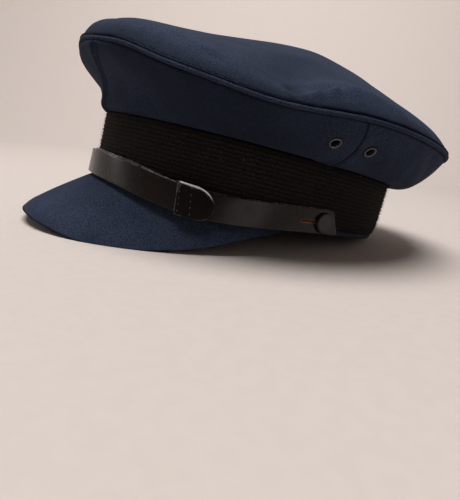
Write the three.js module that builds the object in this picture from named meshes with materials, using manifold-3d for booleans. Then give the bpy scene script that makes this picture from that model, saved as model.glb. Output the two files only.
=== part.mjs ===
// A peaked cap: a soft cloth crown of a top and four side panels, piped round its rim, over a ribbed band
// with a cloth-covered peak and a two-part leather chin strap held by a button on each side.
// Millimetres, +Z up. The peak points to -Y and the wearer's left is +X. The cap rests on a table, on the
// two lower corners of its peak and the back of its band, and the origin is the middle of its footprint.
import * as THREE from 'three';
import { mergeVertices } from 'three/addons/utils/BufferGeometryUtils.js';
import Module from 'manifold-3d';

const wasm = await Module();
wasm.setup();

const { cos, sin, atan2, exp, hypot, abs, max, min, sqrt, PI } = Math;
const degrees = (angle) => (angle * PI) / 180;

// Every bearing is an angle round the cap's upright axis, 0 at the front and positive to the wearer's left.
// Heights are above the lower edge of the band, before the cap is laid down.

const GAP = 0.3; // clearance between neighbouring pieces
const CLOTH = 1.4; // crown cloth with its interlining
const NORMAL_STEP = { bearing: 0.01, share: 0.004 }; // small steps by which a face's direction is found
const CUT_DEPTH = 11; // length of a cutter, more than any wall it goes through
const CUT_SIDES = 14;

const BAND = {
  halfLength: 102, // outer face of the ribbed band, front to back
  halfWidth: 84, // outer face of the ribbed band, side to side
  height: 37.6, // top edge of the ribbed band
  lip: 3.6, // lower edge of the ribbed band, above the foundation's lip
  ribs: 15,
  ribRelief: 0.5, // how far a groove lies below a rib
  ribbedWall: 1.8,
  foundationWall: 1.7,
  lipBack: 0.5, // how far the lip's face lies behind the ribs
  lipRound: 0.6, // rounding of the lip's edges
};

const RIM = { halfLength: 123.3, halfWidth: 120, back: -0.2, height: 60.3, pipingRadius: 1.1 };
// Waves of the rim on both sides: lift of the piping line at a bearing, spread over so many degrees.
const RIM_WAVES = [
  { bearing: 0, spread: 20.7, lift: 11.7 }, // raised front
  { bearing: 25.4, spread: 13.2, lift: 4.9 }, // shoulder beside it
  { bearing: 65.9, spread: 16.8, lift: -5.2 }, // slack hollow ahead of the side seam
];

// Side panel sections: two handles of a cubic curve from the band's top edge to the rim, and the soft roll
// of cloth that stands out over the band seam.
const SIDE_SECTIONS = {
  front: { lowerOut: -3, lowerUp: 20, upperIn: -5, upperDrop: 9, roll: 7 },
  side: { lowerOut: 20, lowerUp: -3, upperIn: 8, upperDrop: 12, roll: 1.5 },
  back: { lowerOut: 14, lowerUp: -1.5, upperIn: 5, upperDrop: 13, roll: 1 },
};
const ROLL_REACH = 0.05; // share of a section's length over which the roll swells

// Top panel: how high its rounded edge stands above the piping, and the crest that it rises to.
const TOP_ROLL = { front: 14.3, side: 7.4, back: 5, sharpness: 14 };
const TOP_CREST = 93.3;
const TOP_BULGE = { back: 18.5, spread: 69, lift: 17.3 };
const FOLD_FADE = 12; // steepness with which the folds die out at the rim
// Folds of the top panel on both sides: bearing and share of the radius, their spreads, and the lift.
const TOP_FOLDS = [
  { bearing: 67, radius: 0.86, spreadBearing: 8, spreadRadius: 0.16, lift: -4 }, // hollow
  { bearing: 82, radius: 0.9, spreadBearing: 11, spreadRadius: 0.06, lift: 2.5 }, // fold behind it
  { bearing: 35, radius: 0.94, spreadBearing: 5, spreadRadius: 0.05, lift: 1.2 }, // ridge of the front pad
  { bearing: 47, radius: 0.93, spreadBearing: 4, spreadRadius: 0.05, lift: 1 }, // wrinkle
];

// Seams between the side panels; the side seam runs straight up from the band and turns forward near the rim.
const SIDE_SEAM = { atBand: 88.6, atRim: 85.7, turn: 5 };
const SEAM_HALF_GAP = 0.1; // degrees

const EYELET = { flange: 3.2, barrel: 2.5, hole: 2.2, height: 0.5, round: 0.2, along: 0.62 };
const EYELET_BEARINGS = { front: 82, back: 92.4 };

// Peak: the edge is a half oval in plan, and its drop below the band goes by the angle round that oval.
const PEAK = {
  tip: 138.8, // front of the edge, from the band's axis
  halfWidth: 85.2,
  endBearing: 81, // bearing at which the peak runs out on the band
  wall: 2.6,
  under: 1.6, // how far it reaches in under the ribbed band
  knee: 0.7, // where it bends down, outside the band
  kneeDrop: 0.2,
  margin: 0.08, // share of the grid that lies between root and knee
  camber: 1,
};
const PEAK_DROPS = [
  { round: 0, drop: 26.4 },
  { round: 20, drop: 27.9 },
  { round: 40, drop: 29.7 },
  { round: 55, drop: 26 },
  { round: 70, drop: 17.4 },
  { round: 82, drop: 7 },
  { round: 90, drop: 1.2 },
];
const PEAK_REST = { round: 42, drop: 31.8 }; // lowest place of the peak's underside, on which the cap rests

const STRAP = {
  width: 14.4,
  wall: 1.5,
  endBearing: 100.6, // bearing of the end under each button
  innerEnd: 57, // bearing of the end that is hidden in the far slide
  height: 7.6, // middle of the strap
  sag: 6,
  cornerLength: 1, // degrees of its end over which the corners are cut
  cornerCut: 0.04,
};
const STRAP_SAG = { bearing: 57, spread: 27 }; // where the slack strap hangs lowest on the peak
// How far the strap's edges stand off the band where the peak pushes it out.
const STRAP_LEAN = { bearing: 52, spread: 27, top: 2, bottom: 6.8, seat: 0.4 };
const STRAP_STEP = { from: 62, to: 80 }; // bearings between which the outer half settles on the band

const SLIDE = {
  from: 48.3,
  sleeveTo: 55.2,
  to: 59.2,
  skew: 1.5, // degrees by which its lower edge lies behind its upper edge
  wall: 0.7,
  face: 1.3,
  lap: 0.3, // how far the face sinks into the sleeve
  roundFrom: 0.45, // share of its length at which the rounded end begins
  roundPower: 2.4,
  tipShare: 0.12, // width left at the tip
};
const BUTTON = {
  bearing: 94.7,
  radius: 6,
  thickness: 1.8,
  shank: 1.2,
  below: 0.5, // how far it lies below the strap's middle
  edgeRound: 0.5,
  rim: 1.2, // breadth of the raised rim
  dish: 0.25,
};
const BUTTONHOLE = { from: 86.2, width: 0.6, shankHole: 1.6 };

const PRESS = 0.5; // how far the cloth is pressed flat where it rests
const ORIGIN_SHIFT = 4.5; // from the band's axis to the middle of the footprint

const NAVY = { color: 0x263350, roughness: 0.9, metalness: 0 };
const MOHAIR = { color: 0x14110f, roughness: 0.95, metalness: 0 };
const LEATHER = { color: 0x2b211d, roughness: 0.45, metalness: 0 };
const BUTTON_BLACK = { color: 0x1d1a1b, roughness: 0.5, metalness: 0 };
const EYELET_METAL = { color: 0x7d8086, roughness: 0.4, metalness: 0.8 };

// Shape of the band, the rim, the side panels and the top

/** Bell curve, 1 at its middle. */
const bell = (value, middle, spread) => exp(-(((value - middle) / spread) ** 2));

/** Smooth step from 0 to 1 between two values. */
const smooth = (value, from, to) => THREE.MathUtils.smoothstep(value, from, to);

/** Bearing in degrees, the same on both sides. */
const sideBearing = (bearing) => abs(THREE.MathUtils.radToDeg(atan2(sin(bearing), cos(bearing))));

/** A point so far outside the ribbed band's outer face, along the face's level normal. */
function bandPoint(bearing, out, up) {
  const normal = new THREE.Vector2(sin(bearing) / BAND.halfWidth, -cos(bearing) / BAND.halfLength).normalize();
  return new THREE.Vector3(
    BAND.halfWidth * sin(bearing) + normal.x * out,
    -BAND.halfLength * cos(bearing) + normal.y * out,
    up,
  );
}

/** Mix of the front, side and back values of a table at a bearing. */
function mixRows(rows, key, bearing) {
  const front = max(cos(bearing), 0) ** 2;
  const back = max(-cos(bearing), 0) ** 2;
  const read = (row) => (key ? row[key] : row);
  return read(rows.front) * front + read(rows.back) * back + read(rows.side) * (1 - front - back);
}

/** Middle of the piping: an oval in plan, raised at the front and waved by the slack of the cloth. */
function rimPoint(bearing) {
  const waves = RIM_WAVES.map((wave) => wave.lift * bell(sideBearing(bearing), wave.bearing, wave.spread));
  const height = waves.reduce((sum, wave) => sum + wave, RIM.height);
  return new THREE.Vector3(RIM.halfWidth * sin(bearing), RIM.back - RIM.halfLength * cos(bearing), height);
}

/** Outer face of the side panels, along a cubic from the band's top edge (0) to the rim (1). */
function sidePoint(bearing, along) {
  const shape = (key) => mixRows(SIDE_SECTIONS, key, bearing);
  const seat = bandPoint(bearing, 0, BAND.height + GAP);
  const rim = rimPoint(bearing);
  const reach = hypot(rim.x - seat.x, rim.y - seat.y);
  const weights = [
    (1 - along) ** 3,
    3 * along * (1 - along) ** 2,
    3 * along * along * (1 - along),
    along ** 3,
  ];
  const outs = [0, shape('lowerOut'), reach - shape('upperIn'), reach];
  const ups = [seat.z, seat.z + shape('lowerUp'), rim.z - shape('upperDrop'), rim.z];
  const sum = (values) => values.reduce((total, value, k) => total + value * weights[k], 0);
  const roll = shape('roll') * (1 - exp(-along / ROLL_REACH)) * (1 - along) ** 3;
  const out = (sum(outs) + roll) / reach;
  return new THREE.Vector3(seat.x + (rim.x - seat.x) * out, seat.y + (rim.y - seat.y) * out, sum(ups));
}

/** Share of the side panel's length at which its cloth stops short of the piping. */
function sideEnd(bearing) {
  const handle = hypot(mixRows(SIDE_SECTIONS, 'upperIn', bearing), mixRows(SIDE_SECTIONS, 'upperDrop', bearing));
  return 1 - (RIM.pipingRadius + GAP) / (3 * handle);
}

/** Outer face of the top panel at a bearing and a share of the rim's radius. */
function topPoint(bearing, radius) {
  const rim = rimPoint(bearing);
  const x = rim.x * radius;
  const y = RIM.back + (rim.y - RIM.back) * radius;
  const roll = mixRows(TOP_ROLL, null, bearing);
  const edge = rim.z + roll * sqrt(max(1 - radius ** TOP_ROLL.sharpness, 0));
  const bulge = TOP_BULGE.lift * bell(hypot(x, y - TOP_BULGE.back), 0, TOP_BULGE.spread) * (1 - radius ** 4);
  const folds = TOP_FOLDS.reduce((total, fold) => {
    const round = bell(sideBearing(bearing), fold.bearing, fold.spreadBearing);
    return total + fold.lift * round * bell(radius, fold.radius, fold.spreadRadius);
  }, 0);
  const slack = folds * min(1, (1 - radius) * FOLD_FADE);
  return new THREE.Vector3(x, y, edge + (TOP_CREST - edge) * (1 - radius ** 2) + bulge + slack);
}

/** Share of the radius at which the top panel stops above the piping. */
function topEnd(bearing) {
  const lift = (RIM.pipingRadius + GAP) / mixRows(TOP_ROLL, null, bearing);
  return (1 - lift ** 2) ** (1 / TOP_ROLL.sharpness);
}

// How the cap lies on the table

const restRound = degrees(PEAK_REST.round);
const peakEnd = BAND.halfLength * cos(degrees(PEAK.endBearing));
const restReach = peakEnd + (PEAK.tip - peakEnd) * cos(restRound);
const REST_TILT = atan2(PEAK_REST.drop, BAND.halfLength + restReach);
const REST_LIFT = (BAND.halfLength - BAND.foundationWall) * sin(REST_TILT) - PRESS;

/** Moves a point that would lie below the table up to it, at right angles to the table. */
function pressFlat(point) {
  const height = point.z * cos(REST_TILT) - point.y * sin(REST_TILT) + REST_LIFT;
  if (height < 0) {
    point.y += height * sin(REST_TILT);
    point.z -= height * cos(REST_TILT);
  }
  return point;
}

// Meshes from grids

/** Geometry of shared corners and triangles, turned so that its faces point out. */
function closedGeometry(points, triangles) {
  const volume = triangles.reduce((sum, [a, b, c]) => {
    return sum + points[a].dot(new THREE.Vector3().crossVectors(points[b], points[c]));
  }, 0);
  const turned = volume < 0 ? triangles.map(([a, b, c]) => [a, c, b]) : triangles;
  const geometry = new THREE.BufferGeometry();
  geometry.setAttribute('position', new THREE.Float32BufferAttribute(points.flatMap((p) => [p.x, p.y, p.z]), 3));
  geometry.setIndex(turned.flat());
  return geometry;
}

/**
 * A closed wall between two grids of points, face(i, j) and back(i, j), for i of columns and j of rows.
 * A ring joins its last column to its first, and a pole draws the first row together to one point.
 */
function wall({ columns, rows, face, back, ring = false, pole = false }) {
  const points = [];
  const sheet = (point) => {
    const grid = [];
    for (let i = 0; i < columns; i += 1) {
      grid.push([]);
      for (let j = 0; j < rows; j += 1) {
        const shared = pole && j === 0 && i > 0;
        if (!shared) points.push(point(i, j));
        grid[i].push(shared ? grid[0][0] : points.length - 1);
      }
    }
    return (i, j) => grid[i % columns][j];
  };
  const outer = sheet(face);
  const inner = sheet(back);
  const triangles = [];
  const quad = (a, b, c, d) => triangles.push([a, b, c], [a, c, d]);
  const spans = ring ? columns : columns - 1;
  for (let i = 0; i < spans; i += 1) {
    for (let j = 0; j < rows - 1; j += 1) {
      quad(outer(i, j), outer(i + 1, j), outer(i + 1, j + 1), outer(i, j + 1));
      quad(inner(i, j), inner(i, j + 1), inner(i + 1, j + 1), inner(i + 1, j));
    }
    if (!pole) quad(outer(i, 0), inner(i, 0), inner(i + 1, 0), outer(i + 1, 0));
    quad(outer(i, rows - 1), outer(i + 1, rows - 1), inner(i + 1, rows - 1), inner(i, rows - 1));
  }
  for (let j = 0; !ring && j < rows - 1; j += 1) {
    quad(outer(0, j), outer(0, j + 1), inner(0, j + 1), inner(0, j));
    quad(outer(spans, j), inner(spans, j), inner(spans, j + 1), outer(spans, j + 1));
  }
  return closedGeometry(points, triangles.filter(([a, b, c]) => a !== b && b !== c && c !== a));
}

/** A closed section of [out, up] corners carried round the band. */
function bandRing(section, segments) {
  const points = [];
  const triangles = [];
  for (let i = 0; i < segments; i += 1) {
    const bearing = (2 * PI * i) / segments;
    const next = (i + 1) % segments;
    section.forEach(([out, up], k) => {
      points.push(pressFlat(bandPoint(bearing, out, up)));
      const after = (k + 1) % section.length;
      const [a, b] = [i * section.length + k, i * section.length + after];
      const [c, d] = [next * section.length + after, next * section.length + k];
      triangles.push([a, b, c], [a, c, d]);
    });
  }
  return closedGeometry(points, triangles);
}

/** Square-on direction of a surface point(u, v), by small steps either way. */
function surfaceNormal(point, u, v, stepV = NORMAL_STEP.share) {
  const acrossU = point(u + NORMAL_STEP.bearing, v).sub(point(u - NORMAL_STEP.bearing, v));
  const acrossV = point(u, v + stepV).sub(point(u, v - stepV));
  return acrossU.cross(acrossV).normalize();
}

// Joins and cuts

/** A closed geometry as a solid that can be joined and cut. */
function toSolid(geometry) {
  const bare = new THREE.BufferGeometry();
  bare.setAttribute('position', geometry.getAttribute('position').clone());
  bare.setIndex(geometry.getIndex());
  const merged = mergeVertices(bare, 1e-4);
  return new wasm.Manifold(new wasm.Mesh({
    numProp: 3,
    vertProperties: new Float32Array(merged.getAttribute('position').array),
    triVerts: new Uint32Array(merged.getIndex().array),
  }));
}

/** The geometry of a solid that was joined or cut. */
function fromSolid(solid) {
  const mesh = solid.getMesh();
  const geometry = new THREE.BufferGeometry();
  geometry.setAttribute('position', new THREE.BufferAttribute(new Float32Array(mesh.vertProperties), 3));
  geometry.setIndex(new THREE.BufferAttribute(new Uint32Array(mesh.triVerts), 1));
  return geometry;
}

/** Turns a geometry whose axis is +Y so that the axis points along a direction, and moves it to a place. */
function aim(geometry, direction, place) {
  const turn = new THREE.Quaternion().setFromUnitVectors(new THREE.Vector3(0, 1, 0), direction);
  return geometry.applyQuaternion(turn).translate(place.x, place.y, place.z);
}

// Crown

const TOP_COLUMNS = 48;
const TOP_ROWS = 10;

function crownTop() {
  const place = (i, j) => {
    const bearing = (2 * PI * i) / TOP_COLUMNS;
    const share = j / (TOP_ROWS - 1);
    const end = 1 - sqrt(1 - topEnd(bearing));
    return [bearing, 1 - (1 - share * end) ** 2];
  };
  const face = (i, j) => topPoint(...place(i, j));
  const back = (i, j) => {
    const [bearing, radius] = place(i, j);
    if (j === 0) return topPoint(0, 0).add(new THREE.Vector3(0, 0, -CLOTH));
    const normal = surfaceNormal(topPoint, bearing, radius, NORMAL_STEP.share / 4);
    return topPoint(bearing, radius).addScaledVector(normal, normal.z > 0 ? -CLOTH : CLOTH);
  };
  return wall({ columns: TOP_COLUMNS, rows: TOP_ROWS, face, back, ring: true, pole: true });
}

const PIPING_COLUMNS = 68;
const PIPING_SIDES = 6;

/** A round cord along the rim, as a ring of sections that stand upright on the rim's outward direction. */
function crownPiping() {
  const points = [];
  const triangles = [];
  for (let i = 0; i < PIPING_COLUMNS; i += 1) {
    const bearing = (2 * PI * i) / PIPING_COLUMNS;
    const middle = rimPoint(bearing);
    const out = new THREE.Vector3(sin(bearing), -cos(bearing), 0);
    for (let k = 0; k < PIPING_SIDES; k += 1) {
      const turn = (2 * PI * k) / PIPING_SIDES;
      const corner = middle.clone().addScaledVector(out, RIM.pipingRadius * cos(turn));
      corner.z += RIM.pipingRadius * sin(turn);
      points.push(corner);
      const [next, after] = [(i + 1) % PIPING_COLUMNS, (k + 1) % PIPING_SIDES];
      const [a, b] = [i * PIPING_SIDES + k, i * PIPING_SIDES + after];
      const [c, d] = [next * PIPING_SIDES + after, next * PIPING_SIDES + k];
      triangles.push([a, b, c], [a, c, d]);
    }
  }
  return closedGeometry(points, triangles);
}

const QUARTER_COLUMNS = 13;
const QUARTER_ROWS = 8;
const QUARTER_CROWDING = 1.35; // more than 1 draws its rows towards the band
const SIDE_OVERHANG = 0.6; // slope by which the side panels are known to face down

/** Bearing of a panel's edge at a share of its height, for the front, side or back seam of one side. */
function seamBearing(seam, along) {
  if (seam === 'front') return 0;
  if (seam === 'back') return PI;
  return degrees(SIDE_SEAM.atBand + (SIDE_SEAM.atRim - SIDE_SEAM.atBand) * along ** SIDE_SEAM.turn);
}

/** Outward direction of a side panel. */
function sideNormal(bearing, along) {
  const inside = min(max(along, NORMAL_STEP.share), 1 - NORMAL_STEP.share);
  const normal = surfaceNormal(sidePoint, bearing, inside);
  const outward = new THREE.Vector3(sin(bearing), -cos(bearing), -SIDE_OVERHANG);
  return normal.dot(outward) < 0 ? normal.negate() : normal;
}

function eyeletPlace(seam, side) {
  const bearing = side * degrees(EYELET_BEARINGS[seam]);
  return { place: sidePoint(bearing, EYELET.along), normal: sideNormal(bearing, EYELET.along) };
}

/** One side panel from the front or back seam to the side seam, with its eyelet hole. */
function quarter(seam, side) {
  const place = (i, j) => {
    const share = (j / (QUARTER_ROWS - 1)) ** QUARTER_CROWDING;
    const inset = degrees(SEAM_HALF_GAP) * (seam === 'front' ? 1 : -1);
    const start = seamBearing(seam, share) + inset;
    const end = seamBearing('side', share) - inset;
    const bearing = side * (start + ((end - start) * i) / (QUARTER_COLUMNS - 1));
    return [bearing, share * sideEnd(bearing)];
  };
  const face = (i, j) => sidePoint(...place(i, j));
  const back = (i, j) => {
    const [bearing, along] = place(i, j);
    return sidePoint(bearing, along).addScaledVector(sideNormal(bearing, along), -CLOTH);
  };
  const panel = wall({ columns: QUARTER_COLUMNS, rows: QUARTER_ROWS, face, back });
  const hole = new THREE.CylinderGeometry(EYELET.barrel + GAP, EYELET.barrel + GAP, CUT_DEPTH, CUT_SIDES);
  const eyelet = eyeletPlace(seam, side);
  return fromSolid(toSolid(panel).subtract(toSolid(aim(hole, eyelet.normal, eyelet.place))));
}

const EYELET_SIDES = 12;

/** A ring with a rounded flange on the outside and a barrel through the cloth. */
function eyelet(seam, side) {
  const { flange, barrel, hole, height, round } = EYELET;
  const section = [
    [hole, -CLOTH],
    [barrel, -CLOTH],
    [barrel, GAP],
    [flange, GAP],
    [flange, GAP + height - round],
    [flange - round, GAP + height],
    [hole + round, GAP + height],
    [hole, GAP + height - round],
    [hole, -CLOTH],
  ];
  const ring = new THREE.LatheGeometry(section.map(([r, up]) => new THREE.Vector2(r, up)), EYELET_SIDES);
  const { place, normal } = eyeletPlace(seam, side);
  return aim(ring, normal, place);
}

// Band and peak

const BAND_SEGMENTS = 40;

function mohairBand() {
  const pitch = (BAND.height - BAND.lip) / BAND.ribs;
  const ribs = [];
  for (let rib = 0; rib < BAND.ribs; rib += 1) {
    ribs.push([-BAND.ribRelief, BAND.lip + pitch * rib], [0, BAND.lip + pitch * (rib + 0.5)]);
  }
  const section = [
    ...ribs,
    [-BAND.ribRelief, BAND.height],
    [-BAND.ribbedWall, BAND.height],
    [-BAND.ribbedWall, BAND.lip],
  ];
  return bandRing(section, BAND_SEGMENTS);
}

/** Foundation band behind the ribbed band, with a rolled lip that comes out under it. */
function headBand() {
  const face = -BAND.ribbedWall - GAP;
  const back = face - BAND.foundationWall;
  const lipTop = BAND.lip - GAP;
  const lipFace = -BAND.lipBack;
  const section = [
    [back, BAND.lipRound],
    [back + BAND.lipRound, 0],
    [lipFace - BAND.lipRound, 0],
    [lipFace, BAND.lipRound],
    [lipFace, lipTop - BAND.lipRound],
    [lipFace - BAND.lipRound, lipTop],
    [face, lipTop],
    [face, BAND.height],
    [back, BAND.height],
  ];
  return bandRing(section, BAND_SEGMENTS);
}

/** Drop of the peak's edge at an angle round its oval, smooth between the rows of the table. */
function peakDrop(round) {
  const angle = abs(THREE.MathUtils.radToDeg(round));
  const last = PEAK_DROPS.length - 1;
  const k = min(max(PEAK_DROPS.findIndex((row) => row.round >= angle), 1), last);
  const row = (index) => PEAK_DROPS[min(max(abs(index), 0), last)];
  const share = (angle - row(k - 1).round) / (row(k).round - row(k - 1).round);
  const slope = (from, to) => (row(to).drop - row(from).drop) / (row(to).round - row(from).round || 1);
  const span = row(k).round - row(k - 1).round;
  const startSlope = k === 1 ? 0 : slope(k - 2, k) * span;
  const endSlope = k === last ? slope(k - 1, k) * span : slope(k - 1, k + 1) * span;
  const [s2, s3] = [share ** 2, share ** 3];
  const ends = row(k - 1).drop * (2 * s3 - 3 * s2 + 1) + row(k).drop * (3 * s2 - 2 * s3);
  return ends + startSlope * (s3 - 2 * s2 + share) + endSlope * (s3 - s2);
}

/** Upper face of the peak: a flat margin under the band's lip, then a gently cambered slope to the edge. */
function peakPoint(across, along) {
  const bearing = degrees(PEAK.endBearing) * across;
  const round = (PI / 2) * across;
  const knee = bandPoint(bearing, PEAK.knee, -GAP - PEAK.kneeDrop);
  if (along <= PEAK.margin) {
    const root = bandPoint(bearing, -PEAK.under, -GAP);
    return root.lerp(knee, along / PEAK.margin);
  }
  const edge = new THREE.Vector3(
    PEAK.halfWidth * sin(round),
    -peakEnd - (PEAK.tip - peakEnd) * cos(round),
    -peakDrop(round),
  );
  const share = (along - PEAK.margin) / (1 - PEAK.margin);
  const point = knee.lerp(edge, share);
  point.z += PEAK.camber * sin(PI * share) * cos(round);
  return point;
}

const PEAK_COLUMNS = 31;
const PEAK_ROWS = 8;
// Where the underside's direction is read: a little inside the ends, the knee and the edge.
const PEAK_INSIDE = { across: 0.98, from: 0.12, to: 0.97 };

function peak() {
  const place = (i, j) => {
    const slope = PEAK.margin + ((1 - PEAK.margin) * (j - 1)) / (PEAK_ROWS - 2);
    return [(2 * i) / (PEAK_COLUMNS - 1) - 1, j === 0 ? 0 : slope];
  };
  const face = (i, j) => pressFlat(peakPoint(...place(i, j)));
  const back = (i, j) => {
    const [across, along] = place(i, j);
    const inside = [across * PEAK_INSIDE.across, min(max(along, PEAK_INSIDE.from), PEAK_INSIDE.to)];
    const normal = surfaceNormal(peakPoint, ...inside);
    const down = normal.z > 0 ? -PEAK.wall : PEAK.wall;
    return pressFlat(peakPoint(across, along).addScaledVector(normal, down));
  };
  return wall({ columns: PEAK_COLUMNS, rows: PEAK_ROWS, face, back });
}

// Chin strap

/** A point of the strap: share of its width from the lower edge, and how far out from its inner face. */
function strapPoint(bearing, across, out, layer) {
  const turned = sideBearing(bearing);
  const sag = bell(turned, STRAP_SAG.bearing, STRAP_SAG.spread);
  const lean = bell(turned, STRAP_LEAN.bearing, STRAP_LEAN.spread);
  const stand = lean * (STRAP_LEAN.bottom + (STRAP_LEAN.top - STRAP_LEAN.bottom) * across);
  const up = STRAP.height - STRAP.sag * sag + STRAP.width * (across - 0.5);
  return bandPoint(bearing, STRAP_LEAN.seat + stand + layer + out, up);
}

const OUTER_LAYER = STRAP.wall + GAP;

/** How far the outer half stands off the inner one; past the right slide it settles on the band. */
const outerLayer = (bearing) => {
  const turned = THREE.MathUtils.radToDeg(bearing);
  return OUTER_LAYER * smooth(turned, -STRAP_STEP.to, -STRAP_STEP.from);
};

const STRAP_COLUMNS = 49;

/** A strap between two bearings, its corners rounded off at both ends. */
function strapStrip(from, to, layer) {
  const corner = degrees(STRAP.cornerLength);
  const place = (i, j) => {
    const bearing = from + ((to - from) * i) / (STRAP_COLUMNS - 1);
    const nearEnd = min(abs(bearing - from), abs(bearing - to));
    const half = 0.5 - STRAP.cornerCut * (1 - min(nearEnd / corner, 1)) ** 2;
    return [bearing, 0.5 + half * (2 * j - 1)];
  };
  return wall({
    columns: STRAP_COLUMNS,
    rows: 2,
    face: (i, j) => strapPoint(...place(i, j), STRAP.wall, layer(place(i, j)[0])),
    back: (i, j) => strapPoint(...place(i, j), 0, layer(place(i, j)[0])),
  });
}

/** Direction, place and upright of the strap's outer face under a button. */
function buttonSeat(side) {
  const bearing = side * degrees(BUTTON.bearing);
  const level = (0.5 * STRAP.width - BUTTON.below) / STRAP.width;
  const at = (b, across) => strapPoint(b, across, STRAP.wall, 0);
  const normal = surfaceNormal(at, bearing, level);
  const outward = new THREE.Vector3(sin(bearing), -cos(bearing), 0);
  return { place: at(bearing, level), normal: normal.dot(outward) < 0 ? normal.negate() : normal, level };
}

/** Buttonhole: a slit towards the front that ends in a round hole for the button's shank. */
function buttonhole(side) {
  const seat = buttonSeat(side);
  const front = strapPoint(side * degrees(BUTTONHOLE.from), seat.level, STRAP.wall, 0);
  const slit = new THREE.BoxGeometry(front.distanceTo(seat.place), CUT_DEPTH, BUTTONHOLE.width);
  const along = new THREE.Vector3().subVectors(front, seat.place).normalize();
  const upright = new THREE.Vector3().crossVectors(along, seat.normal).normalize();
  const out = new THREE.Vector3().crossVectors(upright, along);
  slit.applyMatrix4(new THREE.Matrix4().makeBasis(along, out, upright));
  const middle = front.clone().add(seat.place).multiplyScalar(0.5);
  slit.translate(middle.x, middle.y, middle.z);
  const round = new THREE.CylinderGeometry(BUTTONHOLE.shankHole, BUTTONHOLE.shankHole, CUT_DEPTH, CUT_SIDES);
  return toSolid(slit).add(toSolid(aim(round, seat.normal, seat.place)));
}

function strap(side) {
  const end = side * degrees(STRAP.endBearing);
  const far = -side * degrees(STRAP.innerEnd);
  const strip = strapStrip(min(end, far), max(end, far), side > 0 ? () => 0 : outerLayer);
  return fromSolid(toSolid(strip).subtract(buttonhole(side)));
}

const SLEEVE_COLUMNS = 5;
const FACE_COLUMNS = 11;
const FACE_START = 0.03; // share of its length by which the face begins ahead of the sleeve

/** A keeper round both halves of the strap, whose face runs on into a rounded end. */
function slide(side) {
  const stack = 2 * STRAP.wall + GAP;
  const margin = (GAP + SLIDE.wall) / STRAP.width;
  const skewed = (share, to, across) => {
    const level = SLIDE.from + (to - SLIDE.from) * share;
    return side * degrees(level + SLIDE.skew * (0.5 - across));
  };
  const sleeveFace = stack + GAP + SLIDE.wall;
  const corners = [
    [-margin, -GAP - SLIDE.wall],
    [1 + margin, -GAP - SLIDE.wall],
    [1 + margin, sleeveFace],
    [-margin, sleeveFace],
  ];
  const inset = GAP / STRAP.width;
  const inside = [
    [-inset, -GAP],
    [1 + inset, -GAP],
    [1 + inset, stack + GAP],
    [-inset, stack + GAP],
  ];
  const ring = (section) => (i, j) => {
    const share = i / (SLEEVE_COLUMNS - 1);
    const [across, out] = section[j % section.length];
    return strapPoint(skewed(share, SLIDE.sleeveTo, across), across, out, 0);
  };
  const sleeve = sleeveBetween(ring(corners), ring(inside), SLEEVE_COLUMNS, corners.length);
  const place = (i, j) => {
    const share = i / (FACE_COLUMNS - 1);
    const past = max(share - SLIDE.roundFrom, 0) / (1 - SLIDE.roundFrom);
    const rounded = max(sqrt(max(1 - past ** SLIDE.roundPower, 0)), SLIDE.tipShare);
    const across = 0.5 + (0.5 + margin - inset / 2) * rounded * (2 * j - 1);
    return [skewed(share - FACE_START * (1 - share), SLIDE.to, across), across];
  };
  const plate = wall({
    columns: FACE_COLUMNS,
    rows: 2,
    face: (i, j) => strapPoint(...place(i, j), stack + GAP + SLIDE.face, 0),
    back: (i, j) => strapPoint(...place(i, j), stack + GAP + SLIDE.lap, 0),
  });
  return fromSolid(toSolid(sleeve).add(toSolid(plate)));
}

/** A tube of square section, open at both ends, between an outer and an inner ring of corners. */
function sleeveBetween(outer, inner, columns, corners) {
  return wall({
    columns: corners,
    rows: columns,
    face: (k, i) => outer(i, k),
    back: (k, i) => inner(i, k),
    ring: true,
  });
}

const BUTTON_SIDES = 18;

/** A flat disc with a rounded edge, sunk a little in its face, on a shank through the strap. */
function button(side) {
  const { radius, thickness, shank, edgeRound, rim, dish } = BUTTON;
  const seat = buttonSeat(side);
  const shankEnd = -STRAP.wall - STRAP_LEAN.seat + GAP;
  const section = [
    [0, shankEnd],
    [shank, shankEnd],
    [shank, GAP],
    [radius - edgeRound, GAP],
    [radius, GAP + edgeRound],
    [radius, GAP + thickness - edgeRound],
    [radius - edgeRound, GAP + thickness],
    [radius - rim, GAP + thickness - dish],
    [0, GAP + thickness - dish],
  ];
  const disc = new THREE.LatheGeometry(section.map(([r, up]) => new THREE.Vector2(r, up)), BUTTON_SIDES);
  return aim(disc, seat.normal, seat.place);
}

// Assembly

const cap = new THREE.Group();
cap.rotation.x = -REST_TILT;
cap.position.set(0, ORIGIN_SHIFT, REST_LIFT);

function addPiece(name, geometry, finish) {
  const mesh = new THREE.Mesh(geometry, new THREE.MeshStandardMaterial(finish));
  geometry.computeVertexNormals();
  mesh.name = name;
  cap.add(mesh);
}

const SIDES = [
  { name: 'left', side: 1 },
  { name: 'right', side: -1 },
];

addPiece('crown_top', crownTop(), NAVY);
addPiece('crown_piping', crownPiping(), NAVY);
addPiece('mohair_band', mohairBand(), MOHAIR);
addPiece('head_band', headBand(), NAVY);
addPiece('peak', peak(), NAVY);
for (const { name, side } of SIDES) {
  for (const seam of ['front', 'back']) {
    addPiece(`quarter_${seam}_${name}`, quarter(seam, side), NAVY);
    addPiece(`eyelet_${seam}_${name}`, eyelet(seam, side), EYELET_METAL);
  }
  addPiece(`strap_${name}`, strap(side), LEATHER);
  addPiece(`slide_${name}`, slide(side), LEATHER);
  addPiece(`button_${name}`, button(side), BUTTON_BLACK);
}

const part = new THREE.Group();
part.add(cap);

export default part;
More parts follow.
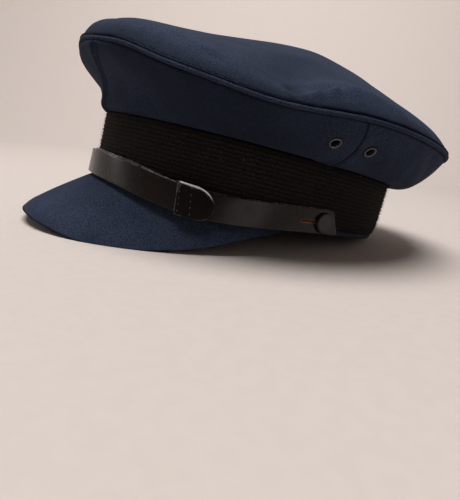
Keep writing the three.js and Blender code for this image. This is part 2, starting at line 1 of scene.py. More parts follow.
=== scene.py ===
"""Dresses a packed peaked cap in its cloth, braid, leather and fittings, and sets it in a plain pale studio.

Shapes are worked out in millimetres in the cap's own frame: the origin is the middle of the band's lower
edge, +Z runs up the band, the peak points to -Y and the wearer's left is +X. A bearing is an angle round the
band, 0 at the front and positive to the wearer's left. RestPose then lays the cap down on the floor.
"""
import logging
import math
from collections.abc import Callable
from dataclasses import dataclass, field
from enum import Enum
from functools import reduce

import bpy
import numpy as np
from mathutils import Matrix


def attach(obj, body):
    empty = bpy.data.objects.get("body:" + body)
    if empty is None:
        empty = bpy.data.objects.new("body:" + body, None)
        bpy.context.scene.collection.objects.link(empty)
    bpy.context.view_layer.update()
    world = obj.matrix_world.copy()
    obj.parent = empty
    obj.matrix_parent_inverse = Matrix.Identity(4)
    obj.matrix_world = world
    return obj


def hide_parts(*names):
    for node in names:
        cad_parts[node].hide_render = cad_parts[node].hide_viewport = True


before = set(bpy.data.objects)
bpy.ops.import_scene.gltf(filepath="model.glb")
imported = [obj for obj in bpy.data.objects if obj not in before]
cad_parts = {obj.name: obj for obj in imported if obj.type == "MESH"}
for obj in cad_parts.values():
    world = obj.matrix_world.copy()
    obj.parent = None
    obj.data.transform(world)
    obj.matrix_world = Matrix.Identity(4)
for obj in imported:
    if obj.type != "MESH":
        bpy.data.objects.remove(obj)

LOG = logging.getLogger("peaked_cap")
BODY = "root"
MM = 0.001
IMAGE_SIZE = (460, 500)
SENSOR = 36.0
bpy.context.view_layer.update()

NEARLY_ZERO = 1e-6
# Half the size of the patch that an outward direction is taken from, as an angle and as a share
PATCH_TURN = 0.01
PATCH_SHARE = 0.004
# A profile whose ends lie closer to its axis is a solid of revolution, any other a closed loop
ON_AXIS = 0.1

Array = np.ndarray
Marks = dict[str, Array]
Pair = tuple[float, float]
Triple = tuple[float, float, float]
Colour = tuple[float, float, float, float]
Socket = bpy.types.NodeSocket
Sockets = bpy.types.bpy_prop_collection
Inputs = dict[str | int, object]


class Slot(Enum):
    """Material slots of the record."""

    CLOTH = "navy_cloth"
    BRAID = "mohair_braid"
    LEATHER = "strap_leather"
    BUTTON = "button_black"
    METAL = "eyelet_metal"


class Named(Enum):
    """A choice that gives its name to nodes."""

    @property
    def label(self) -> str:
        """The choice's name in a node."""
        return self.name.lower()


class Side(Named):
    """The wearer's sides, with the sign of their bearings."""

    LEFT = 1
    RIGHT = -1


class Seam(Named):
    """The end seams of the side panels, with the bearing at which each lies."""

    FRONT = 0.0
    BACK = math.pi


# Small tools of shape


def bell(value: Array | float, middle: float, spread: float) -> Array:
    """Bell curve, 1 at its middle and 1/e at one spread from it."""
    return np.exp(-(((value - middle) / spread) ** 2))


def smooth(value: Array | float, low: float, high: float) -> Array:
    """Smooth step from 0 at low to 1 at high, three squares less two cubes of the share."""
    share = np.clip((value - low) / (high - low), 0.0, 1.0)
    return share * share * (3.0 - 2.0 * share)


def turned(bearing: Array) -> Array:
    """Bearing in degrees from the front, the same on both sides."""
    return np.abs(np.degrees(np.arctan2(np.sin(bearing), np.cos(bearing))))


def unit(vectors: Array) -> Array:
    """Vectors scaled to a length of one along the last axis."""
    return vectors / np.maximum(np.linalg.norm(vectors, axis=-1, keepdims=True), 1e-12)


def points(x: Array, y: Array, z: Array) -> Array:
    """Coordinates of any matching shapes as one array of points."""
    return np.stack(np.broadcast_arrays(x, y, z), axis=-1).astype(float)


def cloth_uv(u: Array, v: Array) -> Array:
    """Cloth coordinates in metres from two of matching shapes in millimetres."""
    return np.stack(np.broadcast_arrays(u, v), axis=-1) * MM


def ring_steps(count: int) -> Array:
    """Angles of equal steps once round, without the last."""
    return np.linspace(0.0, math.tau, count, endpoint=False)


def faded(radius: Array, rate: float) -> Array:
    """1 inside a disc, falling in a straight line to 0 at its rim over one part in rate of the radius."""
    return np.minimum(1.0, (1.0 - radius) * rate)


def lengths(grid: Array, axis: int) -> Array:
    """Way along the lines of a grid of points, from 0 at their first points."""
    step = np.linalg.norm(np.diff(grid, axis=axis), axis=-1)
    start = np.zeros_like(np.take(step, [0], axis=axis))
    return np.concatenate([start, np.cumsum(step, axis=axis)], axis=axis)


def grid_normals(grid: Array) -> Array:
    """Square-on directions of a grid of points: the cross product of its steps along columns and rows."""
    return unit(np.cross(np.gradient(grid, axis=0), np.gradient(grid, axis=1)))


def seat_on(surface: Callable[[Array, Array], Array], bearing: float, share: float,
            side: Side) -> tuple[Array, Array]:
    """Place on a surface, and the outward direction there from a small patch of points round it.

    Args:
        surface: Points of the surface by bearing and share.
        bearing: Bearing of the place, in degrees.
        share: Share of the place.
        side: The side of the cap.

    Returns:
        The place and the direction.
    """
    step = np.array([-1.0, 0.0, 1.0])
    around = math.radians(bearing) * side.value + PATCH_TURN * step[:, None]
    along = share + PATCH_SHARE * step[None, :]
    patch = surface(*np.broadcast_arrays(around, along))
    normal = grid_normals(patch)[1, 1]
    return patch[1, 1], normal * math.copysign(1.0, normal[0] * side.value)


def rounded_loop(corners: list[tuple[float, float]], radius: float, steps: int = 5) -> Array:
    """Rounds the corners of a flat closed outline.

    Each corner becomes a curve of the second degree between the points that lie one radius, or at most
    half a side, before and after it.

    Args:
        corners: The outline's corners, in order.
        radius: How far from a corner its curve begins.
        steps: Points on each curve.

    Returns:
        The outline's points, steps for each corner.
    """
    corner = np.array(corners, float)
    before = np.roll(corner, 1, axis=0) - corner
    after = np.roll(corner, -1, axis=0) - corner
    start = corner + unit(before) * np.minimum(radius, np.linalg.norm(before, axis=1)[:, None] / 2)
    end = corner + unit(after) * np.minimum(radius, np.linalg.norm(after, axis=1)[:, None] / 2)
    share = np.linspace(0.0, 1.0, steps)[None, :, None]
    curve = (
        (1 - share) ** 2 * start[:, None]
        + 2 * share * (1 - share) * corner[:, None]
        + share**2 * end[:, None]
    )
    return curve.reshape(-1, 2)


@dataclass(frozen=True)
class Ripple:
    """Slack of a cloth: a sum of level waves of random direction, length and phase, from a fixed seed."""

    seed: int
    height: float
    shortest: float
    longest: float
    count: int = 9

    def lift(self, u: Array, v: Array) -> Array:
        """Height of the waves over a surface.

        Args:
            u: First coordinate on the cloth, in millimetres.
            v: Second coordinate on the cloth, in millimetres.

        Returns:
            The sum of the sines of all waves at each point, scaled to the stated height.
        """
        rng = np.random.default_rng(self.seed)
        heading, phase = rng.uniform(0.0, math.tau, (2, self.count))
        wave = math.tau / rng.uniform(self.shortest, self.longest, self.count)
        along = np.cos(heading) * u[..., None] + np.sin(heading) * v[..., None]
        return self.height * np.sin(wave * along + phase).sum(axis=-1) / math.sqrt(self.count)


# The cap's form, by the same sizes and formulas as its solids


@dataclass(frozen=True)
class RimWave:
    """A rise or dip of the rim at a bearing on both sides, in degrees and millimetres."""

    bearing: float
    spread: float
    lift: float


@dataclass(frozen=True)
class SideSection:
    """Handles of a side panel's cubic section, and the roll of cloth over the band seam."""

    lower_out: float
    lower_up: float
    upper_in: float
    upper_drop: float
    roll: float


@dataclass(frozen=True)
class TopFold:
    """A broad fold of the top panel on both sides, at a bearing and a share of the radius."""

    bearing: float
    radius: float
    spread_bearing: float
    spread_radius: float
    lift: float


@dataclass(frozen=True)
class PeakDrop:
    """How far the peak's edge drops below the band at an angle round its oval."""

    round: float
    drop: float


@dataclass(frozen=True)
class CapForm:
    """Every main surface of the cap as a function of two parameters, in its own frame."""

    gap: float = 0.3
    cloth: float = 1.4
    band_half_length: float = 102.0
    band_half_width: float = 84.0
    band_height: float = 37.6
    lip: float = 3.6
    ribs: int = 15
    rib_relief: float = 0.5
    ribbed_wall: float = 1.8
    foundation_wall: float = 1.7
    lip_back: float = 0.5
    lip_round: float = 0.6
    rim_half_length: float = 123.3
    rim_half_width: float = 120.0
    rim_back: float = -0.2
    rim_height: float = 60.3
    piping_radius: float = 1.1
    rim_waves: tuple[RimWave, ...] = (
        RimWave(0, 20.7, 11.7),
        RimWave(25.4, 13.2, 4.9),
        RimWave(65.9, 16.8, -5.2),
    )
    side_front: SideSection = SideSection(-3, 20, -5, 9, 7)
    side_middle: SideSection = SideSection(20, -3, 8, 12, 1.5)
    side_back: SideSection = SideSection(14, -1.5, 5, 13, 1)
    roll_reach: float = 0.05
    top_roll_front: float = 14.3
    top_roll_side: float = 7.4
    top_roll_back: float = 5.0
    top_sharpness: float = 14.0
    crest_height: float = 93.3
    bulge_back: float = 18.5
    bulge_spread: float = 69.0
    bulge_lift: float = 17.3
    fold_fade: float = 12.0
    top_folds: tuple[TopFold, ...] = (
        TopFold(67, 0.86, 8, 0.16, -4),
        TopFold(82, 0.9, 11, 0.06, 2.5),
        TopFold(35, 0.94, 5, 0.05, 1.2),
        TopFold(47, 0.93, 4, 0.05, 1),
    )
    seam_at_band: float = 88.6
    seam_at_rim: float = 85.7
    seam_turn: float = 5.0
    peak_tip: float = 138.8
    peak_half_width: float = 85.2
    peak_end: float = 81.0
    peak_wall: float = 2.6
    peak_under: float = 1.6
    peak_knee: float = 0.7
    peak_knee_drop: float = 0.2
    peak_margin: float = 0.08
    peak_camber: float = 1.0
    peak_drops: tuple[PeakDrop, ...] = (
        PeakDrop(0, 26.4),
        PeakDrop(20, 27.9),
        PeakDrop(40, 29.7),
        PeakDrop(55, 26),
        PeakDrop(70, 17.4),
        PeakDrop(82, 7),
        PeakDrop(90, 1.2),
    )
    strap_width: float = 14.4
    strap_wall: float = 1.5
    strap_height: float = 7.6
    strap_sag: float = 6.0
    sag_bearing: float = 57.0
    sag_spread: float = 27.0
    lean_bearing: float = 52.0
    lean_spread: float = 27.0
    lean_top: float = 2.0
    lean_bottom: float = 6.8
    strap_seat: float = 0.4

    def mix(self, front: float, side: float, back: float, bearing: Array) -> Array:
        """Front, side and back values mixed by the squared cosine of the bearing."""
        ahead = np.maximum(np.cos(bearing), 0.0) ** 2
        behind = np.maximum(-np.cos(bearing), 0.0) ** 2
        return front * ahead + back * behind + side * (1.0 - ahead - behind)

    def band_normal(self, bearing: Array) -> Array:
        """Level outward direction of the band's oval."""
        x, y = np.sin(bearing) / self.band_half_width, -np.cos(bearing) / self.band_half_length
        return unit(points(x, y, np.zeros_like(bearing)))

    def band_point(self, bearing: Array, out: Array | float, up: Array | float) -> Array:
        """Point so far outside the ribbed band's oval, along its normal, and so far up."""
        x, y = self.band_half_width * np.sin(bearing), -self.band_half_length * np.cos(bearing)
        return points(x, y, up) + self.band_normal(bearing) * np.asarray(out)[..., None]

    def rim_point(self, bearing: Array) -> Array:
        """Middle of the piping: an oval in plan whose height is a sum of bell curves of the bearing."""
        lift = sum(wave.lift * bell(turned(bearing), wave.bearing, wave.spread) for wave in self.rim_waves)
        x = self.rim_half_width * np.sin(bearing)
        return points(x, self.rim_back - self.rim_half_length * np.cos(bearing), self.rim_height + lift)

    def side_handle(self, name: str, bearing: Array) -> Array:
        """One value of the side panels' sections at a bearing."""
        rows = (self.side_front, self.side_middle, self.side_back)
        return self.mix(*(getattr(row, name) for row in rows), bearing)

    def side_point(self, bearing: Array, along: Array) -> Array:
        """Outer face of the side panels: a cubic from the band's top edge to the rim, with a soft roll.

        Args:
            bearing: Bearings of the points.
            along: Share of the way from the band (0) to the rim (1).

        Returns:
            The points of the panel.
        """
        seat = self.band_point(bearing, 0.0, self.band_height + self.gap)
        rim = self.rim_point(bearing)
        reach = np.hypot(rim[..., 0] - seat[..., 0], rim[..., 1] - seat[..., 1])
        weight = ((1 - along) ** 3, 3 * along * (1 - along) ** 2, 3 * along**2 * (1 - along), along**3)
        low, high = seat[..., 2], rim[..., 2]
        lower_out = self.side_handle("lower_out", bearing)
        upper_out = reach - self.side_handle("upper_in", bearing)
        lower_up = low + self.side_handle("lower_up", bearing)
        upper_up = high - self.side_handle("upper_drop", bearing)
        roll = self.side_handle("roll", bearing) * (1 - np.exp(-along / self.roll_reach)) * (1 - along) ** 3
        out = (sum(w * o for w, o in zip(weight, (0.0, lower_out, upper_out, reach))) + roll) / reach
        up = sum(w * u for w, u in zip(weight, (low, lower_up, upper_up, high)))
        level = seat + (rim - seat) * out[..., None]
        return points(level[..., 0], level[..., 1], up)

    def side_end(self, bearing: Array, inset: float) -> Array:
        """Share at which a side panel ends so far from the middle of the piping."""
        handle = np.hypot(self.side_handle("upper_in", bearing), self.side_handle("upper_drop", bearing))
        return 1.0 - inset / (3.0 * handle)

    def seam_bearing(self, along: Array) -> Array:
        """Bearing of the left side seam, which turns forward by a power of the share of its height."""
        return np.radians(self.seam_at_band + (self.seam_at_rim - self.seam_at_band) * along**self.seam_turn)

    def top_roll(self, bearing: Array) -> Array:
        """How high the top panel's rounded edge stands above the piping."""
        return self.mix(self.top_roll_front, self.top_roll_side, self.top_roll_back, bearing)

    def top_rounding(self, radius: Array) -> Array:
        """Share of the rounded edge's height: a root of one less the radius to a high power."""
        return np.sqrt(np.maximum(1.0 - radius**self.top_sharpness, 0.0))

    def top_point(self, bearing: Array, radius: Array) -> Array:
        """Outer face of the top panel.

        The height is the rounded edge, a root of one less the radius to a high power, plus a parabola up to
        the crest, a bell-shaped bulge at the back and a few bell-shaped folds.

        Args:
            bearing: Bearings of the points.
            radius: Share of the way from the middle (0) to the rim (1).

        Returns:
            The points of the panel.
        """
        rim = self.rim_point(bearing)
        x, y = rim[..., 0] * radius, self.rim_back + (rim[..., 1] - self.rim_back) * radius
        edge = rim[..., 2] + self.top_roll(bearing) * self.top_rounding(radius)
        bulge = self.bulge_lift * bell(np.hypot(x, y - self.bulge_back), 0.0, self.bulge_spread)
        folds = sum(
            fold.lift
            * bell(turned(bearing), fold.bearing, fold.spread_bearing)
            * bell(radius, fold.radius, fold.spread_radius)
            for fold in self.top_folds
        )
        dome = (self.crest_height - edge) * (1.0 - radius**2)
        slack = folds * faded(radius, self.fold_fade)
        return points(x, y, edge + dome + bulge * (1.0 - radius**4) + slack)

    def top_end(self, bearing: Array, lift: float) -> Array:
        """Share of the radius at which the top panel ends so far above the middle of the piping."""
        return (1.0 - (lift / self.top_roll(bearing)) ** 2) ** (1.0 / self.top_sharpness)

    @property
    def peak_root(self) -> float:
        """How far ahead of the band's axis the peak's ends lie."""
        return self.band_half_length * math.cos(math.radians(self.peak_end))

    def peak_drop(self, around: Array) -> Array:
        """Drop of the peak's edge, a cubic curve through the table's rows with slopes between neighbours."""
        angle = np.degrees(np.abs(around))
        stop = np.array([row.round for row in self.peak_drops], float)
        drop = np.array([row.drop for row in self.peak_drops], float)
        slope = np.empty_like(drop)
        slope[1:-1] = (drop[2:] - drop[:-2]) / (stop[2:] - stop[:-2])
        slope[0], slope[-1] = 0.0, (drop[-1] - drop[-2]) / (stop[-1] - stop[-2])
        k = np.clip(np.searchsorted(stop, angle), 1, len(stop) - 1)
        span = stop[k] - stop[k - 1]
        t = (angle - stop[k - 1]) / span
        ends = drop[k - 1] * (2 * t**3 - 3 * t**2 + 1) + drop[k] * (3 * t**2 - 2 * t**3)
        return ends + span * (slope[k - 1] * (t**3 - 2 * t**2 + t) + slope[k] * (t**3 - t**2))

    def peak_point(self, across: Array, along: Array) -> Array:
        """Upper face of the peak: a flat margin under the band's lip, then a cambered slope to the edge.

        Args:
            across: From -1 at the wearer's right end to 1 at the left end.
            along: Share of the way from the root under the band (0) to the edge (1).

        Returns:
            The points of the face.
        """
        bearing, around = np.radians(self.peak_end) * across, (math.pi / 2) * across
        root = self.band_point(bearing, -self.peak_under, -self.gap)
        knee = self.band_point(bearing, self.peak_knee, -self.gap - self.peak_knee_drop)
        edge_y = -self.peak_root - (self.peak_tip - self.peak_root) * np.cos(around)
        edge = points(self.peak_half_width * np.sin(around), edge_y, -self.peak_drop(around))
        margin = np.clip(along / self.peak_margin, 0.0, 1.0)[..., None]
        share = np.clip((along - self.peak_margin) / (1.0 - self.peak_margin), 0.0, 1.0)
        face = root + (knee - root) * margin + (edge - knee) * share[..., None]
        face[..., 2] += self.peak_camber * np.sin(math.pi * share) * np.cos(around)
        return face

    def strap_point(self, bearing: Array, across: Array, out: Array | float) -> Array:
        """Point of the chin strap.

        The strap follows the band's oval. It sags and leans out on the peak by bell curves of the bearing.

        Args:
            bearing: Bearings of the points.
            across: Share of the strap's width from its lower edge (0) to its upper edge (1).
            out: How far the points lie outside the inner half's inner face.

        Returns:
            The points of the strap.
        """
        sag = self.strap_sag * bell(turned(bearing), self.sag_bearing, self.sag_spread)
        lean = bell(turned(bearing), self.lean_bearing, self.lean_spread)
        stand = lean * (self.lean_bottom + (self.lean_top - self.lean_bottom) * across)
        up = self.strap_height - sag + self.strap_width * (across - 0.5)
        return self.band_point(bearing, self.strap_seat + stand + out, up)


@dataclass(frozen=True)
class RestPose:
    """How the cap lies by itself: on the two lower corners of its peak and the back of its band."""

    form: CapForm
    rest_round: float = 42.0
    rest_drop: float = 31.8
    press: float = 0.5
    shift: float = 4.5

    @property
    def tilt(self) -> float:
        """Angle by which the front is lifted, from the peak's drop over the length of the footing."""
        form = self.form
        reach = form.peak_root + (form.peak_tip - form.peak_root) * math.cos(math.radians(self.rest_round))
        return math.atan2(self.rest_drop, form.band_half_length + reach)

    @property
    def lift(self) -> float:
        """Height of the band's lower middle above the floor."""
        return (self.form.band_half_length - self.form.foundation_wall) * math.sin(self.tilt) - self.press

    def turn(self, vectors: Array) -> Array:
        """Directions of the cap's frame as directions of the floor's frame."""
        c, s = math.cos(self.tilt), math.sin(self.tilt)
        x, y, z = np.moveaxis(np.asarray(vectors, float), -1, 0)
        return points(x, y * c + z * s, z * c - y * s)

    def settle(self, shape: Array, pressed: bool = True) -> Array:
        """Points of the cap's frame, in millimetres, as points of the floor's frame, in metres.

        Args:
            shape: Points in the cap's frame.
            pressed: Whether what would lie below the floor is pressed flat on it.

        Returns:
            The points in the floor's frame.
        """
        laid = self.turn(shape) + np.array([0.0, self.shift, self.lift])
        if pressed:
            laid[..., 2] = np.maximum(laid[..., 2], 0.0)
        return laid * MM


FORM = CapForm()
POSE = RestPose(FORM)


# Meshes from grids


@dataclass
class Skin:
    """Points, faces and face corners' cloth coordinates of one closed surface, before it becomes a mesh."""

    shape: Array
    faces: list[Array]
    corner_uv: list[Array]
    marks: Marks = field(default_factory=dict)

    def joined(self, other: "Skin") -> "Skin":
        """This skin and another as one."""
        marks = {k: np.concatenate([self.marks[k], other.marks[k]]) for k in self.marks}
        shifted = [face + len(self.shape) for face in other.faces]
        shape = np.concatenate([self.shape, other.shape])
        return Skin(shape, self.faces + shifted, self.corner_uv + other.corner_uv, marks)

    def outward(self) -> "Skin":
        """This skin with its faces turned so that the volume that they hold is positive."""
        volume = 0.0
        for face in self.faces:
            corner = self.shape[face]
            for k in range(1, face.shape[1] - 1):
                volume += np.einsum("ij,ij->", corner[:, 0], np.cross(corner[:, k], corner[:, k + 1]))
        if volume < 0.0:
            self.faces = [face[:, ::-1] for face in self.faces]
            self.corner_uv = [uv[:, ::-1] for uv in self.corner_uv]
        return self


def flat_marks(marks: Marks | None) -> Marks:
    """Values of a grid's points by name, each as one row of numbers."""
    return {name: np.asarray(value, float).reshape(-1) for name, value in (marks or {}).items()}


def wrap_skin(grid: Array, uv: Array, ring: tuple[bool, bool], marks: Marks | None = None) -> Skin:
    """Skin of a grid that closes on itself along one or both of its directions, one face over each open end.

    Args:
        grid: Points, columns by rows.
        uv: Cloth coordinates in metres, with one more column or row for each direction that closes.
        ring: Whether the columns close on themselves, and whether the rows do.
        marks: Values of the points by name, columns by rows.

    Returns:
        The skin, facing outwards.
    """
    columns, rows = grid.shape[:2]
    i, j = np.meshgrid(np.arange(columns - (not ring[0])), np.arange(rows - (not ring[1])), indexing="ij")
    corner_i = np.stack([i, i + 1, i + 1, i], axis=-1).reshape(-1, 4)
    corner_j = np.stack([j, j, j + 1, j + 1], axis=-1).reshape(-1, 4)
    faces = [(corner_i % columns) * rows + corner_j % rows]
    corner_uv = [uv[corner_i, corner_j]]
    if not ring[1]:
        around = np.arange(columns)
        faces += [(around * rows)[None, ::-1], (around * rows + rows - 1)[None, :]]
        corner_uv += [uv[around, 0][None, ::-1], uv[around, rows - 1][None, :]]
    if not ring[0]:
        around = np.arange(rows)
        faces += [around[None, :], (around + (columns - 1) * rows)[None, ::-1]]
        corner_uv += [uv[0, around][None, :], uv[columns - 1, around][None, ::-1]]
    return Skin(grid.reshape(-1, 3), faces, corner_uv, flat_marks(marks)).outward()


def wall_skin(outer: Array, inner: Array, uv: Array, ring: bool = False, keep: Array | None = None,
              marks: Marks | None = None) -> Skin:
    """Closed wall between two grids, with a rim along every border of the cells that are kept.

    Args:
        outer: Points of the outer face, columns by rows.
        inner: Points of the inner face, columns by rows.
        uv: Cloth coordinates in metres, with one more column where the columns close.
        ring: Whether the columns close on themselves.
        keep: Which cells are there, all by default.
        marks: Values of the points by name, columns by rows.

    Returns:
        The skin, facing outwards.
    """
    columns, rows = outer.shape[:2]
    cells = (columns if ring else columns - 1, rows - 1)
    kept = np.ones(cells, bool) if keep is None else keep
    sheet = columns * rows
    i, j = np.nonzero(kept)
    quads = [np.stack([i, j, i + 1, j, i + 1, j + 1, i, j + 1], axis=-1).reshape(-1, 4, 2)]
    layers = [np.zeros((len(i), 4), int)]
    quads.append(quads[0][:, ::-1])
    layers.append(np.ones((len(i), 4), int))
    before = np.roll(kept, 1, axis=0) if ring else np.pad(kept, ((1, 0), (0, 0)))[:-1]
    after = np.roll(kept, -1, axis=0) if ring else np.pad(kept, ((0, 1), (0, 0)))[1:]
    below = np.pad(kept, ((0, 0), (1, 0)))[:, :-1]
    above = np.pad(kept, ((0, 0), (0, 1)))[:, 1:]
    borders = (
        (kept & ~before, (0, 0), (0, 1)),
        (kept & ~after, (1, 1), (1, 0)),
        (kept & ~below, (1, 0), (0, 0)),
        (kept & ~above, (0, 1), (1, 1)),
    )
    for border, first, last in borders:
        cell = np.stack(np.nonzero(border), axis=-1)
        start, stop = cell + np.array(first), cell + np.array(last)
        quads.append(np.stack([start, stop, stop, start], axis=1))
        layers.append(np.broadcast_to([0, 0, 1, 1], (len(cell), 4)))
    corner, layer = np.concatenate(quads), np.concatenate(layers)
    face = (corner[..., 0] % columns) * rows + corner[..., 1] + layer * sheet
    used, face = np.unique(face, return_inverse=True)
    shape = np.concatenate([outer.reshape(-1, 3), inner.reshape(-1, 3)])[used]
    flat = {name: np.tile(value, 2)[used] for name, value in flat_marks(marks).items()}
    return Skin(shape, [face.reshape(-1, 4)], [uv[corner[..., 0], corner[..., 1]]], flat).outward()


def make_piece(name: str, skin: Skin, material: bpy.types.Material, slot: Slot,
               *replaced: str) -> bpy.types.Object:
    """Lays a skin on the floor as a mesh that rides on the cap and takes a finish.

    Args:
        name: The piece's name.
        skin: Its surface in the cap's frame, in millimetres.
        material: Its finish.
        slot: The record's slot that the finish belongs to.
        replaced: CAD nodes that the piece stands for.

    Returns:
        The new object.
    """
    mesh = bpy.data.meshes.new(name)
    mesh.vertices.add(len(skin.shape))
    mesh.vertices.foreach_set("co", POSE.settle(skin.shape).astype(np.float32).ravel())
    sizes = np.concatenate([np.full(len(face), face.shape[1]) for face in skin.faces])
    corners = np.concatenate([face.ravel() for face in skin.faces])
    mesh.loops.add(len(corners))
    mesh.loops.foreach_set("vertex_index", corners.astype(np.int32))
    mesh.polygons.add(len(sizes))
    mesh.polygons.foreach_set("loop_start", (np.cumsum(sizes) - sizes).astype(np.int32))
    mesh.polygons.foreach_set("use_smooth", np.ones(len(sizes), bool))
    mesh.update(calc_edges=True)
    uv = np.concatenate([corner.reshape(-1, 2) for corner in skin.corner_uv])
    mesh.uv_layers.new(name="Thread").data.foreach_set("uv", uv.astype(np.float32).ravel())
    for mark, value in skin.marks.items():
        mesh.attributes.new(mark, "FLOAT", "POINT").data.foreach_set("value", value.astype(np.float32))
    mesh.materials.append(material)
    piece = bpy.data.objects.new(name, mesh)
    bpy.context.scene.collection.objects.link(piece)
    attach(piece, BODY)
    if replaced:
        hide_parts(*replaced)
    LOG.info("%s: %d faces", name, len(sizes))
    return piece


def turned_skin(profile: Array, place: Array, axis: Array, columns: int) -> Skin:
    """Profile of radius and height turned round an axis.

    Args:
        profile: Points of radius and height, from one end of the axis to the other, or a closed loop.
        place: Where the axis has height 0.
        axis: Direction of the axis.
        columns: Steps round the axis.

    Returns:
        The skin; a profile that leaves the axis open is taken as a closed loop.
    """
    axis = unit(np.asarray(axis, float))
    level = unit(np.cross(axis, [0.0, 0.0, 1.0]))
    other = np.cross(axis, level)
    angle = ring_steps(columns)[:, None, None]
    spoke = np.cos(angle) * level + np.sin(angle) * other
    grid = place + spoke * profile[None, :, :1] + axis * profile[None, :, 1:]
    loop = bool(profile[0, 0] > ON_AXIS)
    u = np.linspace(0.0, math.tau, columns + 1)[:, None] * profile[:, 0].max()
    path = np.concatenate([profile, profile[:1]]) if loop else profile
    return wrap_skin(grid, cloth_uv(u, lengths(path, 0)[None, :]), (True, loop))


# Shader nodes


class Bench:
    """A node tree under construction."""

    def __init__(self, tree: bpy.types.NodeTree) -> None:
        """Takes the tree that nodes are added to."""
        self.tree = tree

    def feed(self, sockets: Sockets, inputs: Inputs) -> None:
        """Links sockets to inputs of a node or sets values on them, by the inputs' names or numbers."""
        for key, value in inputs.items():
            if isinstance(value, Socket):
                self.tree.links.new(value, sockets[key])
            else:
                sockets[key].default_value = value

    def node(self, kind: str, inputs: Inputs | None = None, **settings: object) -> bpy.types.Node:
        """Adds a node.

        Args:
            kind: The node's type.
            inputs: Values or sockets by the name or number of an input.
            settings: Properties of the node.

        Returns:
            The node.
        """
        made = self.tree.nodes.new(kind)
        for name, value in settings.items():
            setattr(made, name, value)
        self.feed(made.inputs, inputs or {})
        return made

    def group(self, tree: bpy.types.NodeTree, inputs: Inputs) -> Sockets:
        """Outputs of a node that stands for a shader node group."""
        return self.node("ShaderNodeGroup", inputs, node_tree=tree).outputs

    def math(self, operation: str, first: object, second: object) -> Socket:
        """Result of an operation on two values."""
        return self.node("ShaderNodeMath", {0: first, 1: second}, operation=operation).outputs[0]

    def weighted(self, first: Socket, first_weight: float, second: Socket, second_weight: float) -> Socket:
        """Sum of two values, each times its weight."""
        product = self.math("MULTIPLY", first, first_weight)
        return self.math("ADD", product, self.math("MULTIPLY", second, second_weight))

    def span(self, value: Socket, low: float, high: float, start: float = 0.0, end: float = 1.0) -> Socket:
        """A value's way from low to high as a way from start to end, held at both ends."""
        ends = {"Value": value, "From Min": low, "From Max": high, "To Min": start, "To Max": end}
        return self.node("ShaderNodeMapRange", ends).outputs[0]

    def mix(self, factor: object, first: object, second: object) -> Socket:
        """Mix of two colours."""
        return self.node("ShaderNodeMix", {0: factor, 6: first, 7: second}, data_type="RGBA").outputs[2]

    def noise(self, place: Socket, scale: float, detail: float = 2.0) -> Socket:
        """Value of a noise whose features are about one scale-th of a metre."""
        inputs = {"Vector": place, "Scale": scale, "Detail": detail}
        return self.node("ShaderNodeTexNoise", inputs).outputs[0]

    def stripes(self, thread: Socket, count: object, direction: str, wave: Inputs) -> Socket:
        """Value of a wave texture across so many yarns in a metre of the thread coordinates."""
        yarns = self.node("ShaderNodeVectorMath", {0: thread, "Scale": count}, operation="SCALE").outputs[0]
        return self.node("ShaderNodeTexWave", {"Vector": yarns, **wave}, bands_direction=direction).outputs[1]

    def bump(self, height: Socket, strength: float, depth: float) -> Socket:
        """Normal of a height that is given in shares of a depth in metres."""
        inputs = {"Height": height, "Strength": strength, "Distance": depth}
        return self.node("ShaderNodeBump", inputs).outputs[0]

    def mark(self, name: str) -> Socket:
        """Value of a mesh's own attribute."""
        return self.node("ShaderNodeAttribute", attribute_name=name).outputs["Fac"]

    def thread(self) -> Socket:
        """Cloth coordinates of a mesh."""
        return self.node("ShaderNodeUVMap", uv_map="Thread").outputs[0]


def new_group(name: str, vectors: tuple[str, ...], values: tuple[str, ...],
              results: tuple[str, ...]) -> tuple[Bench, Sockets, Sockets]:
    """Starts a shader node group.

    Args:
        name: The group's name.
        vectors: Names of its inputs that are vectors.
        values: Names of its inputs that are single values.
        results: Names of its outputs, all of them single values.

    Returns:
        Its bench, the outputs of its input node and the inputs of its output node.
    """
    tree = bpy.data.node_groups.new(name, "ShaderNodeTree")
    rows = (
        (vectors, "INPUT", "NodeSocketVector"),
        (values, "INPUT", "NodeSocketFloat"),
        (results, "OUTPUT", "NodeSocketFloat"),
    )
    for labels, way, kind in rows:
        for label in labels:
            tree.interface.new_socket(label, in_out=way, socket_type=kind)
    bench = Bench(tree)
    return bench, bench.node("NodeGroupInput").outputs, bench.node("NodeGroupOutput").inputs


